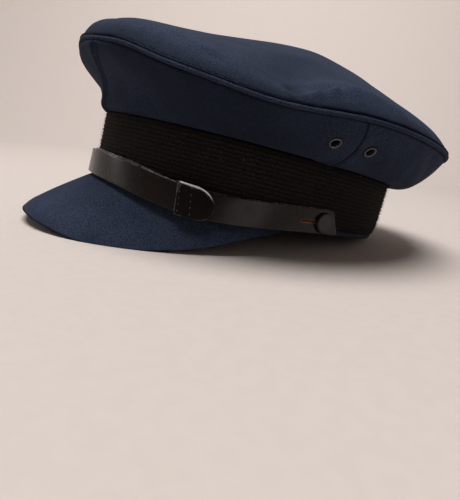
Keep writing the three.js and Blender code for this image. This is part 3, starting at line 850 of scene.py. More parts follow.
class Effects:
    """Shader node groups that the finishes share, with their fibres and clouds counted in a metre."""

    twill = {"Scale": 0.45, "Distortion": 1.4, "Detail": 1.0}
    twill_weight = 0.25
    fibres = 1350.0
    cloth_clouds = 45.0
    cloth_detail = 3.0
    speck_edge = (0.06, 0.13)
    cell_weight = 0.6
    leather_clouds = 90.0
    leather_detail = 4.0
    cloud_weight = 0.8

    def __init__(self) -> None:
        """Builds each group once."""
        self.weave = self.build_weave()
        self.lint = self.build_lint()
        self.grain = self.build_grain()

    def build_weave(self) -> bpy.types.NodeTree:
        """Twill of a milled cloth: slanted bands along the thread, broken by fibres of a fine noise."""
        results = ("Height", "Fibre", "Cloud")
        bench, start, end = new_group("milled weave", ("Thread", "Place"), ("Pitch",), results)
        count = bench.math("DIVIDE", 1.0, start["Pitch"])
        bands = bench.stripes(start["Thread"], count, "DIAGONAL", self.twill)
        fibre = bench.noise(start["Place"], self.fibres)
        cloud = bench.noise(start["Place"], self.cloth_clouds, self.cloth_detail)
        height = bench.weighted(bands, self.twill_weight, fibre, 1.0)
        bench.feed(end, {"Height": height, "Fibre": fibre, "Cloud": cloud})
        return bench.tree

    def build_lint(self) -> bpy.types.NodeTree:
        """Specks of lint: small discs at the points of scattered cells, in a share of the cells."""
        bench, start, end = new_group("lint specks", ("Place",), ("Spacing", "Share"), ("Mask",))
        scale = bench.math("DIVIDE", 1.0, start["Spacing"])
        cells = bench.node("ShaderNodeTexVoronoi", {"Vector": start["Place"], "Scale": scale}).outputs
        near = bench.span(cells["Distance"], *self.speck_edge, 1.0, 0.0)
        pick = bench.node("ShaderNodeSeparateColor", {0: cells["Color"]}).outputs[0]
        picked = bench.math("LESS_THAN", pick, start["Share"])
        bench.feed(end, {"Mask": bench.math("MULTIPLY", near, picked)})
        return bench.tree

    def build_grain(self) -> bpy.types.NodeTree:
        """Grain of dressed leather: rounded cells of about half a millimetre under a slow wave."""
        bench, start, end = new_group("leather grain", ("Place",), ("Size",), ("Height", "Cloud"))
        inputs = {"Vector": start["Place"], "Scale": bench.math("DIVIDE", 1.0, start["Size"])}
        cell = bench.node("ShaderNodeTexVoronoi", inputs, feature="SMOOTH_F1").outputs["Distance"]
        cloud = bench.noise(start["Place"], self.leather_clouds, self.leather_detail)
        height = bench.weighted(cell, self.cell_weight, cloud, self.cloud_weight)
        bench.feed(end, {"Height": height, "Cloud": cloud})
        return bench.tree


@dataclass(frozen=True)
class Finish:
    """What all finishes have: a name, and a material with one Principled shader."""

    name: str

    def material(self, effects: Effects) -> bpy.types.Material:
        """The finish as a material."""
        material = bpy.data.materials.new(self.name)
        material.use_nodes = True
        bench = Bench(material.node_tree)
        place = bench.node("ShaderNodeTexCoord").outputs["Object"]
        shader = material.node_tree.nodes["Principled BSDF"]
        bench.feed(shader.inputs, self.look(bench, effects, place))
        return material

    def look(self, bench: Bench, effects: Effects, place: Socket) -> Inputs:
        """Inputs of the shader.

        Args:
            bench: The material's node tree.
            effects: The shared node groups.
            place: Object coordinates.

        Returns:
            Values or sockets by the names of the shader's inputs.
        """
        raise NotImplementedError


@dataclass(frozen=True)
class ClothFinish(Finish):
    """What the cloths have: specks of lint."""

    lint: Colour = (0.22, 0.24, 0.27, 1.0)
    lint_spacing: float = 0.0036
    lint_share: float = 0.1
    lint_strength: float = 0.2

    def dusted(self, bench: Bench, effects: Effects, place: Socket, cloth: Socket) -> Socket:
        """A cloth's colour with lint on it."""
        specks = {"Place": place, "Spacing": self.lint_spacing, "Share": self.lint_share}
        mask = bench.group(effects.lint, specks)["Mask"]
        return bench.mix(bench.math("MULTIPLY", mask, self.lint_strength), cloth, self.lint)


@dataclass(frozen=True)
class WoolFinish(ClothFinish):
    """Milled navy wool: a fine twill with lighter fibres, faint clouds, dark seams, painted shade in grooves,
    hollows and under the piping, and a little lint.
    """

    deep: Colour = (0.0105, 0.0152, 0.0285, 1.0)
    worn: Colour = (0.0255, 0.0345, 0.06, 1.0)
    # seam: the colour of dark seams and of the painted shade in grooves, crease hollows and under the piping
    seam: Colour = (0.0056, 0.008, 0.0152, 1.0)
    sheen: Colour = (0.55, 0.66, 0.9, 1.0)
    pitch: float = 0.0011
    cloudiness: float = 0.3
    tones: Pair = (0.5, 0.8)
    bump: Pair = (0.55, 0.00035)

    def look(self, bench: Bench, effects: Effects, place: Socket) -> Inputs:
        """Inputs of the shader."""
        weave = bench.group(effects.weave, {"Thread": bench.thread(), "Place": place, "Pitch": self.pitch})
        tone = bench.weighted(weave["Fibre"], 1.0, weave["Cloud"], self.cloudiness)
        cloth = bench.mix(bench.span(tone, *self.tones), self.deep, self.worn)
        dusty = self.dusted(bench, effects, place, cloth)
        return {
            # The seam mark mixes in the dark seams and the painted shade.
            "Base Color": bench.mix(bench.mark("seam"), dusty, self.seam),
            "Roughness": 0.92,
            "Specular IOR Level": 0.06,
            "Sheen Weight": 0.03,
            "Sheen Roughness": 0.45,
            "Sheen Tint": self.sheen,
            "Normal": bench.bump(weave["Height"], *self.bump),
        }


@dataclass(frozen=True)
class BraidFinish(ClothFinish):
    """Black mohair braid: slanted yarns on every rib, painted shade in the grooves and under the crown's
    edge, brown tints and specks of lint.
    """

    lint: Colour = (0.16, 0.14, 0.12, 1.0)
    lint_spacing: float = 0.005
    lint_strength: float = 0.45
    # groove: painted shade between the ribs and under the crown's edge
    groove: Colour = (0.0018, 0.0015, 0.0014, 1.0)
    yarn: Colour = (0.022, 0.019, 0.0165, 1.0)
    sheen: Colour = (0.8, 0.7, 0.62, 1.0)
    yarn_pitch: float = 0.0017
    fibres: float = 900.0
    fibre_detail: float = 3.0
    dashes: float = 800.0
    yarn_weight: float = 0.25
    dash_weight: float = 0.6
    groove_light: float = 0.3
    tones: Pair = (0.58, 0.88)
    least_tone: float = 0.1
    bump: Pair = (0.8, 0.0005)

    def look(self, bench: Bench, effects: Effects, place: Socket) -> Inputs:
        """Inputs of the shader."""
        thread = bench.thread()
        wave = {"Scale": 0.36, "Distortion": 3.0, "Detail": 2.0}
        slant = bench.stripes(thread, 1.0 / self.yarn_pitch, "X", wave)
        fibre = bench.noise(place, self.fibres, self.fibre_detail)
        dashes = bench.math("ADD", fibre, bench.noise(thread, self.dashes))
        height = bench.weighted(slant, self.yarn_weight, dashes, self.dash_weight)
        # The crest mark paints shade into the grooves and under the crown's edge
        ribbed = bench.span(bench.mark("crest"), 0.0, 1.0, self.groove_light, 1.0)
        crest = bench.math("MULTIPLY", ribbed, bench.span(height, *self.tones, self.least_tone, 1.0))
        braid = bench.mix(crest, self.groove, self.yarn)
        return {
            "Base Color": self.dusted(bench, effects, place, braid),
            "Roughness": 0.88,
            "Specular IOR Level": 0.08,
            "Sheen Weight": 0.02,
            "Sheen Roughness": 0.4,
            "Sheen Tint": self.sheen,
            "Normal": bench.bump(height, *self.bump),
        }


@dataclass(frozen=True)
class LeatherFinish(Finish):
    """Dark strap leather: fine grain, cloudy polish, pale worn edges, a paler upper strap edge, a painted
    highlight along the slides' top edges and raw red-brown cuts.
    """

    deep: Colour = (0.0028, 0.0018, 0.0015, 1.0)
    rubbed: Colour = (0.0085, 0.0056, 0.0046, 1.0)
    # worn: the pale colour of worn edges, of the paler upper strap edge and of the painted highlight on the
    # slides
    worn: Colour = (0.85, 0.84, 0.82, 1.0)
    raw: Colour = (0.62, 0.17, 0.06, 1.0)
    grain: float = 0.0007
    sheen: float = 0.3
    rubbed_tones: Pair = (0.35, 0.7)
    chips: float = 420.0
    chip_detail: float = 3.0
    chip_tones: Pair = (0.46, 0.6)
    raw_least: float = 0.25
    rough_tones: Pair = (0.3, 0.75)
    roughness: Pair = (0.3, 0.2)
    bump: Pair = (0.35, 0.0003)

    def look(self, bench: Bench, effects: Effects, place: Socket) -> Inputs:
        """Inputs of the shader."""
        grain = bench.group(effects.grain, {"Place": place, "Size": self.grain})
        polish = bench.mix(bench.span(grain["Cloud"], *self.rubbed_tones), self.deep, self.rubbed)
        chips = bench.span(bench.noise(place, self.chips, self.chip_detail), *self.chip_tones)
        # The edge mark paints worn edges, the paler upper strap edge and the slides' highlight
        edge = bench.mark("edge")
        kept = bench.math("MULTIPLY", bench.math("SUBTRACT", 1.0, edge), chips)
        edged = bench.mix(bench.math("MULTIPLY", edge, bench.math("ADD", edge, kept)), polish, self.worn)
        frayed = bench.math("MULTIPLY", bench.mark("raw"), bench.math("ADD", chips, self.raw_least))
        return {
            "Base Color": bench.mix(frayed, edged, self.raw),
            "Roughness": bench.span(grain["Cloud"], *self.rough_tones, *self.roughness),
            "Specular IOR Level": self.sheen,
            "Normal": bench.bump(grain["Height"], *self.bump),
        }


@dataclass(frozen=True)
class HardFinish(Finish):
    """Button or eyelet: one colour with small scuffs that are lighter and rougher."""

    body: Colour
    scuffed: Colour
    metallic: float
    roughness: float
    grain: float = 0.0004
    scuffs: float = 700.0
    scuff_detail: float = 4.0
    scuff_tones: Pair = (0.52, 0.68)
    scuff_rough: float = 0.15
    bump: Pair = (0.15, 0.0002)

    def look(self, bench: Bench, effects: Effects, place: Socket) -> Inputs:
        """Inputs of the shader."""
        grain = bench.group(effects.grain, {"Place": place, "Size": self.grain})
        scuff = bench.span(bench.noise(place, self.scuffs, self.scuff_detail), *self.scuff_tones)
        return {
            "Base Color": bench.mix(scuff, self.body, self.scuffed),
            "Metallic": self.metallic,
            "Roughness": bench.span(scuff, 0.0, 1.0, self.roughness, self.roughness + self.scuff_rough),
            "Normal": bench.bump(grain["Height"], *self.bump),
        }


@dataclass(frozen=True)
class ThreadFinish(Finish):
    """Waxed linen thread: pale, twisted, darker in its hollows."""

    pale: Colour = (0.1, 0.085, 0.07, 1.0)
    hollow_colour: Colour = (0.03, 0.024, 0.02, 1.0)
    twists: float = 1400.0
    twist_detail: float = 3.0
    tones: Pair = (0.35, 0.65)
    bump: Pair = (0.5, 0.0001)

    def look(self, bench: Bench, effects: Effects, place: Socket) -> Inputs:
        """Inputs of the shader."""
        twist = bench.noise(place, self.twists, self.twist_detail)
        return {
            "Base Color": bench.mix(bench.span(twist, *self.tones), self.hollow_colour, self.pale),
            "Roughness": 0.7,
            "Normal": bench.bump(twist, *self.bump),
        }


@dataclass(frozen=True)
class PaperFinish(Finish):
    """Seamless studio paper: pale and warm, with a trace of tooth."""

    pale: Colour = (0.46, 0.412, 0.386, 1.0)
    tooth: Colour = (0.45, 0.402, 0.376, 1.0)
    flecks: float = 160.0
    tones: Pair = (0.4, 0.6)

    def look(self, bench: Bench, effects: Effects, place: Socket) -> Inputs:
        """Inputs of the shader."""
        fleck = bench.span(bench.noise(place, self.flecks), *self.tones)
        return {
            "Base Color": bench.mix(fleck, self.pale, self.tooth),
            "Roughness": 0.9,
            "Specular IOR Level": 0.15,
        }


class Wardrobe:
    """The materials of the cap and of the floor, each made once."""

    def __init__(self) -> None:
        """Makes the shared effects and every material."""
        effects = Effects()
        self.paper = PaperFinish("studio paper").material(effects)
        self.wool = WoolFinish("navy wool").material(effects)
        self.braid = BraidFinish("black mohair braid").material(effects)
        self.leather = LeatherFinish("dark strap leather").material(effects)
        deep, rubbed = (0.0015, 0.0011, 0.001, 1.0), (0.0045, 0.0033, 0.0029, 1.0)
        self.slide = LeatherFinish("black slide leather", deep, rubbed, sheen=0.17).material(effects)
        self.thread = ThreadFinish("waxed thread").material(effects)
        black, scuffed = (0.008, 0.0064, 0.0061, 1.0), (0.02, 0.0175, 0.0165, 1.0)
        button = HardFinish("satin black button", black, scuffed, metallic=0.0, roughness=0.42)
        self.button = button.material(effects)
        grey, bare = (0.088, 0.09, 0.093, 1.0), (0.175, 0.18, 0.185, 1.0)
        metal = HardFinish("dull eyelet metal", grey, bare, metallic=0.85, roughness=0.38)
        self.metal = metal.material(effects)


# The crown


@dataclass(frozen=True)
class Crease:
    """A crease of the top panel between two places, each a bearing in degrees and a share of the radius.

    Its lift is a height, or, where it is only a painted shade, the share of the dark colour that it adds.
    """

    start: Pair
    end: Pair
    width: float
    lift: float


@dataclass(frozen=True)
class PanelPlan:
    """The points of a side panel: bearings, shares of the height, places and ways along the cloth."""

    bearing: Array
    along: Array
    panel: Array
    to_end: Array
    to_side: Array
    to_rim: Array
    from_eyelet: Array


@dataclass(frozen=True)
class Crown:
    """Top panel, piping, four side panels and their eyelets."""

    wardrobe: Wardrobe
    top_cells: int = 190
    top_crowding: float = 1.7
    sewn_in: float = 0.5
    sewn_softness: float = 0.5
    rim_from: float = 0.9
    groove_rise: float = 1.5
    groove_breadth: float = 0.6
    groove_depth: float = 0.6
    groove_range: Pair = (0.95, 0.98)
    crease_fade: float = 22.0
    gather_fade: float = 60.0
    gather_reach: float = 0.07
    rim_arc: float = 2.1
    creases: tuple[Crease, ...] = (
        Crease((30, 0.955), (35, 0.967), 3.0, 0.5),
        Crease((35, 0.967), (42, 0.979), 2.6, 0.7),
        Crease((45.2, 0.932), (46.2, 0.98), 1.1, 0.5),
        Crease((45.2, 0.932), (50.5, 0.937), 1.1, 0.5),
        Crease((47.0, 0.95), (50.5, 0.965), 1.8, -0.25),
        Crease((66, 0.85), (68, 0.95), 4.5, -0.2),
        Crease((67.5, 0.93), (68.8, 0.99), 3.2, -1.6),
        Crease((70.0, 0.99), (73.5, 0.978), 2.0, 2.8),
        Crease((73.5, 0.978), (77.5, 0.955), 2.2, 2.2),
        Crease((77.5, 0.955), (83, 0.936), 2.8, 1.4),
        Crease((83, 0.936), (97, 0.942), 4.2, 0.9),
        Crease((76, 0.988), (84, 0.978), 2.0, -1.2),
        Crease((84, 0.978), (96, 0.974), 2.4, -1.1),
        Crease((-28, 0.94), (-40, 0.975), 3.2, 0.8),
        Crease((-52, 0.93), (-58, 0.97), 1.8, 0.8),
        Crease((-67, 0.75), (-71, 0.985), 4.4, -1.1),
        Crease((-76, 0.94), (-84, 0.905), 3.6, 1.1),
        Crease((-84, 0.905), (-99, 0.93), 4.6, 0.9),
    )
    # Painted shade on the top panel: a broad band by the front fold and a strip at the back
    shades: tuple[Crease, ...] = (
        Crease((62, 0.87), (70, 0.62), 15.0, 0.34),
        Crease((98, 0.972), (108, 0.982), 3.0, 0.3),
    )
    top_ripple: Ripple = Ripple(seed=11, height=0.18, shortest=16.0, longest=46.0)
    side_ripple: Ripple = Ripple(seed=23, height=0.5, shortest=20.0, longest=60.0)
    gather_ripple: Ripple = Ripple(seed=37, height=0.16, shortest=5.0, longest=11.0)
    quarter_columns: int = 116
    quarter_rows: int = 56
    row_crowding: float = 0.09
    column_crowding: float = 0.11 / 1.4
    seam_lean: float = 14.0
    lean_from: float = -0.1
    lean_to: float = 1.0
    seam_depth: float = 1.1
    seam_breadth: float = 0.85
    seam_line: float = 0.45
    side_groove: float = 0.75
    side_groove_breadth: float = 0.8
    ridge_place: float = 2.6
    ridge_lift: float = 1.2
    ridge_breadth: float = 1.5
    side_ridge: float = 0.55
    side_ridge_breadth: float = 1.4
    held_at_band: float = 0.16
    held_at_rim: float = 0.1
    slack_shear: float = 0.4
    slack_stretch: float = 1.3
    side_arc: float = 1.9
    side_gather: float = 0.2
    eyelet_along: float = 0.62
    eyelet_front: float = 82.0
    eyelet_back: float = 92.4
    eyelet_flange: float = 3.2
    eyelet_barrel: float = 2.5
    eyelet_hole: float = 2.2
    eyelet_height: float = 0.5
    eyelet_under: float = 0.3
    eyelet_round: float = 0.8
    eyelet_round_steps: int = 6
    eyelet_columns: int = 48
    eyelet_shade: float = 0.6
    dimple_depth: float = 0.6
    dimple_breadth: float = 5.5
    # Painted shade on the side panels in a slanted band towards the front, full up to one bearing and gone by
    # the next
    painted_side_shade: float = 0.62
    side_shade_full_until: float = 60.0
    side_shade_gone_at: float = 92.0
    side_shade_slant: Pair = (25.0, 47.0)
    side_shade_least: float = 0.3
    side_shade_range: Pair = (0.3, 0.9)
    rolled_shade: float = 0.5
    rolled_range: Pair = (0.96, 0.998)
    hollow_shade: float = 0.45
    hollow_depth: float = 1.0
    piping_columns: int = 520
    piping_sides: int = 16
    piping_gather: float = 0.25
    piping_twist: float = 0.6
    piping_shade: Pair = (0.2, 0.8)

    def build(self) -> None:
        """Makes every piece of the crown."""
        self.build_top()
        self.build_piping()
        for side in Side:
            for seam in Seam:
                self.build_quarter(seam, side)
                self.build_eyelet(seam, side)

    def crease_lift(self, x: Array, y: Array, creases: tuple[Crease, ...]) -> Array:
        """Sum of creases: each a bell curve of the distance in plan from a straight line."""
        lift = np.zeros_like(x)
        for crease in creases:
            (b0, r0), (b1, r1) = crease.start, crease.end
            ends = FORM.top_point(np.radians([b0, b1]), np.array([r0, r1]))[:, :2]
            way = ends[1] - ends[0]
            from_x, from_y = x - ends[0, 0], y - ends[0, 1]
            share = np.clip((from_x * way[0] + from_y * way[1]) / (way @ way), 0.0, 1.0)
            off = np.hypot(from_x - share * way[0], from_y - share * way[1])
            lift += crease.lift * bell(off, 0.0, crease.width)
        return lift

    def build_top(self) -> None:
        """Makes the top panel on a square grid drawn into a disc.

        A square point (s, t) goes to (s times the root of 1 - t squared / 2, t times the root of
        1 - s squared / 2); its radius is then crowded towards the rim.
        """
        step = np.linspace(-1.0, 1.0, self.top_cells)
        s, t = np.meshgrid(step, step, indexing="ij")
        x, y = s * np.sqrt(1.0 - t**2 / 2.0), t * np.sqrt(1.0 - s**2 / 2.0)
        bearing, disc = np.arctan2(x, -y), np.clip(np.hypot(x, y), 0.0, 1.0)
        radius = (1.0 - (1.0 - disc) ** self.top_crowding) * FORM.top_end(bearing, self.sewn_in)
        outer = FORM.top_point(bearing, radius)
        plan_x, plan_y = outer[..., 0].copy(), outer[..., 1].copy()
        reach = np.hypot(plan_x, plan_y)
        creased = self.crease_lift(plan_x, plan_y, self.creases)
        lift = creased + self.top_ripple.lift(plan_x, plan_y)
        gathers = self.gather_ripple.lift(np.degrees(bearing) * self.rim_arc, radius * 0.0)
        gathers *= bell(radius, 1.0, self.gather_reach)
        outer[..., 2] += lift * faded(radius, self.crease_fade) + gathers * faded(radius, self.gather_fade)
        rise = outer[..., 2] - FORM.rim_point(bearing)[..., 2]
        groove = bell(rise, self.groove_rise, self.groove_breadth) * smooth(radius, *self.groove_range)
        outer[..., :2] *= 1.0 - (self.groove_depth * groove / np.maximum(reach, 1.0))[..., None]
        normal = grid_normals(outer)
        inner = outer - normal * FORM.cloth * np.sign(normal[..., 2:])
        drop = FORM.top_roll(bearing) * (1.0 - FORM.top_rounding(radius))
        spread = (reach + drop) / np.maximum(reach, NEARLY_ZERO)
        # Painted shade: darker in the groove beside the piping and under it, in the hollows of the creases,
        # on the rolled edge near the rim and along the listed shades
        seam_shade = smooth(self.groove_rise - rise, 0.0, self.sewn_softness) * (radius > self.rim_from)
        hollow = self.hollow_shade * smooth(-creased, 0.0, self.hollow_depth)
        rolled = self.rolled_shade * smooth(radius, *self.rolled_range)
        shaded = np.clip(hollow + rolled + self.crease_lift(plan_x, plan_y, self.shades), 0.0, 1.0)
        marks = {"seam": np.maximum(np.maximum(groove, seam_shade), shaded)}
        skin = wall_skin(outer, inner, cloth_uv(plan_x * spread, plan_y * spread), marks=marks)
        top = make_piece("crown_top_cloth", skin, self.wardrobe.wool, Slot.CLOTH, "crown_top")

    def build_piping(self) -> None:
        """Makes the piping: a circle of slightly gathered cloth carried along the rim."""
        bearing = ring_steps(self.piping_columns)[:, None]
        turn = ring_steps(self.piping_sides)[None, :]
        gathers = self.gather_ripple.lift(bearing * FORM.rim_half_width, turn * self.piping_twist)
        radius = FORM.piping_radius * (1.0 + self.piping_gather * gathers)
        out = points(np.sin(bearing), -np.cos(bearing), 0.0 * bearing)
        grid = FORM.rim_point(bearing) + out * (radius * np.cos(turn))[..., None]
        grid[..., 2] += radius * np.sin(turn)
        u = np.linspace(0.0, math.tau, self.piping_columns + 1)[:, None] * FORM.rim_half_width
        v = np.linspace(0.0, math.tau, self.piping_sides + 1)[None, :] * FORM.piping_radius
        # Painted shade on the piping's inner half, where it meets the panels
        inner_side_shade = smooth(-np.cos(turn), *self.piping_shade) * np.ones_like(bearing)
        skin = wrap_skin(grid, cloth_uv(u, v), (True, True), {"seam": inner_side_shade})
        make_piece("crown_piping_cord", skin, self.wardrobe.wool, Slot.CLOTH, "crown_piping")

    def eyelet_seat(self, seam: Seam, side: Side) -> tuple[Array, Array]:
        """Middle of an eyelet on the cloth, and the outward direction there."""
        bearing = self.eyelet_front if seam is Seam.FRONT else self.eyelet_back
        return seat_on(FORM.side_point, bearing, self.eyelet_along, side)

    def rim_tuck(self, plan: PanelPlan) -> Array:
        """Share of the groove in which a side panel is tucked under the piping, a bell curve."""
        return bell(plan.to_rim, self.groove_rise - self.sewn_in, self.groove_breadth)

    def relief(self, plan: PanelPlan) -> Array:
        """How far a side panel's cloth stands off its smooth form.

        It dips by bell curves along both seams and round its eyelet, has a pressed ridge beside each seam,
        and ripples where it is held neither by the band nor by the rim.

        Args:
            plan: The points of the panel.

        Returns:
            The heights of the points.
        """
        groove = bell(plan.to_end, 0.0, self.seam_breadth)
        groove += self.side_groove * bell(plan.to_side, 0.0, self.seam_breadth * self.side_groove_breadth)
        ridge = bell(plan.to_end, self.ridge_place, self.ridge_breadth)
        ridge += self.side_ridge * bell(plan.to_side, self.ridge_place, self.side_ridge_breadth)
        dimple = self.dimple_depth * bell(plan.from_eyelet, 0.0, self.dimple_breadth)
        held = smooth(plan.along, 0.0, self.held_at_band) * smooth(1.0 - plan.along, 0.0, self.held_at_rim)
        x, y, z = np.moveaxis(plan.panel, -1, 0)
        slack = self.side_ripple.lift(x + y * self.slack_shear, z * self.slack_stretch + y)
        gathers = self.gather_ripple.lift(np.degrees(plan.bearing) * self.side_arc, plan.along * 0.0)
        gathers *= bell(plan.along, 1.0, self.side_gather)
        away = self.ridge_lift * ridge + (slack + gathers) * held - self.seam_depth * groove - dimple
        return away - self.groove_depth * self.rim_tuck(plan)

    def shade(self, plan: PanelPlan) -> Array:
        """How dark a side panel's cloth is.

        It is dark along its seams by bell curves, with painted shade in their grooves, under the piping and
        round its eyelet, and painted shade in a slanted band towards the front.

        Args:
            plan: The points of the panel.

        Returns:
            The shares of the dark colour at the points.
        """
        # Painted shade under the piping, in the seams' grooves and round the eyelet, with the dark seams
        dark = smooth(self.groove_rise - self.sewn_in - plan.to_rim, 0.0, self.sewn_softness)
        seams = bell(plan.to_end, 0.0, self.seam_line) + bell(plan.to_side, 0.0, self.seam_line)
        eyelet_shadow = bell(plan.from_eyelet, self.eyelet_flange, self.eyelet_shade)
        seam_shade = seams + np.maximum(self.rim_tuck(plan), dark) + eyelet_shadow
        from_front = turned(plan.bearing)
        slanted = plan.along + (from_front - self.side_shade_slant[0]) / self.side_shade_slant[1]
        # Painted shade in a slanted band towards the front
        nap = self.painted_side_shade * smooth(from_front, self.side_shade_gone_at, self.side_shade_full_until)
        nap *= self.side_shade_least + (1.0 - self.side_shade_least) * smooth(slanted, *self.side_shade_range)
        return np.clip(np.maximum(seam_shade, nap), 0.0, 1.0)

    def build_quarter(self, seam: Seam, side: Side) -> None:
        """Makes one side panel from an end seam to the side seam.

        The panel follows the crown's cubic sections. The front seam leans to the wearer's left on its way up
        to the rim.

        Args:
            seam: The end seam at which the panel begins.
            side: The side of the cap.
        """
        share = np.linspace(0.0, 1.0, self.quarter_rows)[None, :]
        share = share - self.row_crowding * np.sin(math.tau * share)
        across = np.linspace(0.0, 1.0, self.quarter_columns)[:, None]
        across = across - self.column_crowding * np.sin(math.tau * across)
        lean = smooth(share, self.lean_from, self.lean_to) if seam is Seam.FRONT else 0.0
        start = seam.value + side.value * math.radians(self.seam_lean) * lean
        bearing = side.value * (start + (FORM.seam_bearing(share) - start) * across)
        along = share * FORM.side_end(bearing, self.sewn_in)
        panel = FORM.side_point(bearing, along)
        middle, axis = self.eyelet_seat(seam, side)
        normal = grid_normals(panel)
        normal *= np.sign(np.sum(normal * axis, axis=-1).mean())
        u, v = lengths(panel, 0), lengths(panel, 1)
        away = np.linalg.norm(panel - middle, axis=-1)
        plan = PanelPlan(bearing, along, panel, u, u[-1:] - u, v[:, -1:] - v, away)
        outer = panel + normal * self.relief(plan)[..., None]
        inner = outer - normal * FORM.cloth
        keep = (away[1:, 1:] + away[:-1, 1:] + away[1:, :-1] + away[:-1, :-1]) / 4.0 > self.eyelet_barrel
        skin = wall_skin(outer, inner, cloth_uv(u, v), keep=keep, marks={"seam": self.shade(plan)})
        node = f"quarter_{seam.label}_{side.label}"
        piece = make_piece(f"{node}_cloth", skin, self.wardrobe.wool, Slot.CLOTH, node)

    def build_eyelet(self, seam: Seam, side: Side) -> None:
        """Makes an eyelet: a rolled flange on a barrel through the cloth, turned round its axis.

        Args:
            seam: The end seam of the panel that it is set in.
            side: The side of the cap.
        """
        hole, barrel, flange = self.eyelet_hole, self.eyelet_barrel, self.eyelet_flange
        foot, under, top = -FORM.cloth, -self.eyelet_under, FORM.gap + self.eyelet_height
        corners = [(hole, foot), (barrel, foot), (barrel, under), (flange, under), (flange, top), (hole, top)]
        section = rounded_loop(corners, self.eyelet_round, self.eyelet_round_steps)
        place, axis = self.eyelet_seat(seam, side)
        skin = turned_skin(section, place - axis * self.dimple_depth, axis, self.eyelet_columns)
        node = f"eyelet_{seam.label}_{side.label}"
        make_piece(f"{node}_ring", skin, self.wardrobe.metal, Slot.METAL, node)


# The band


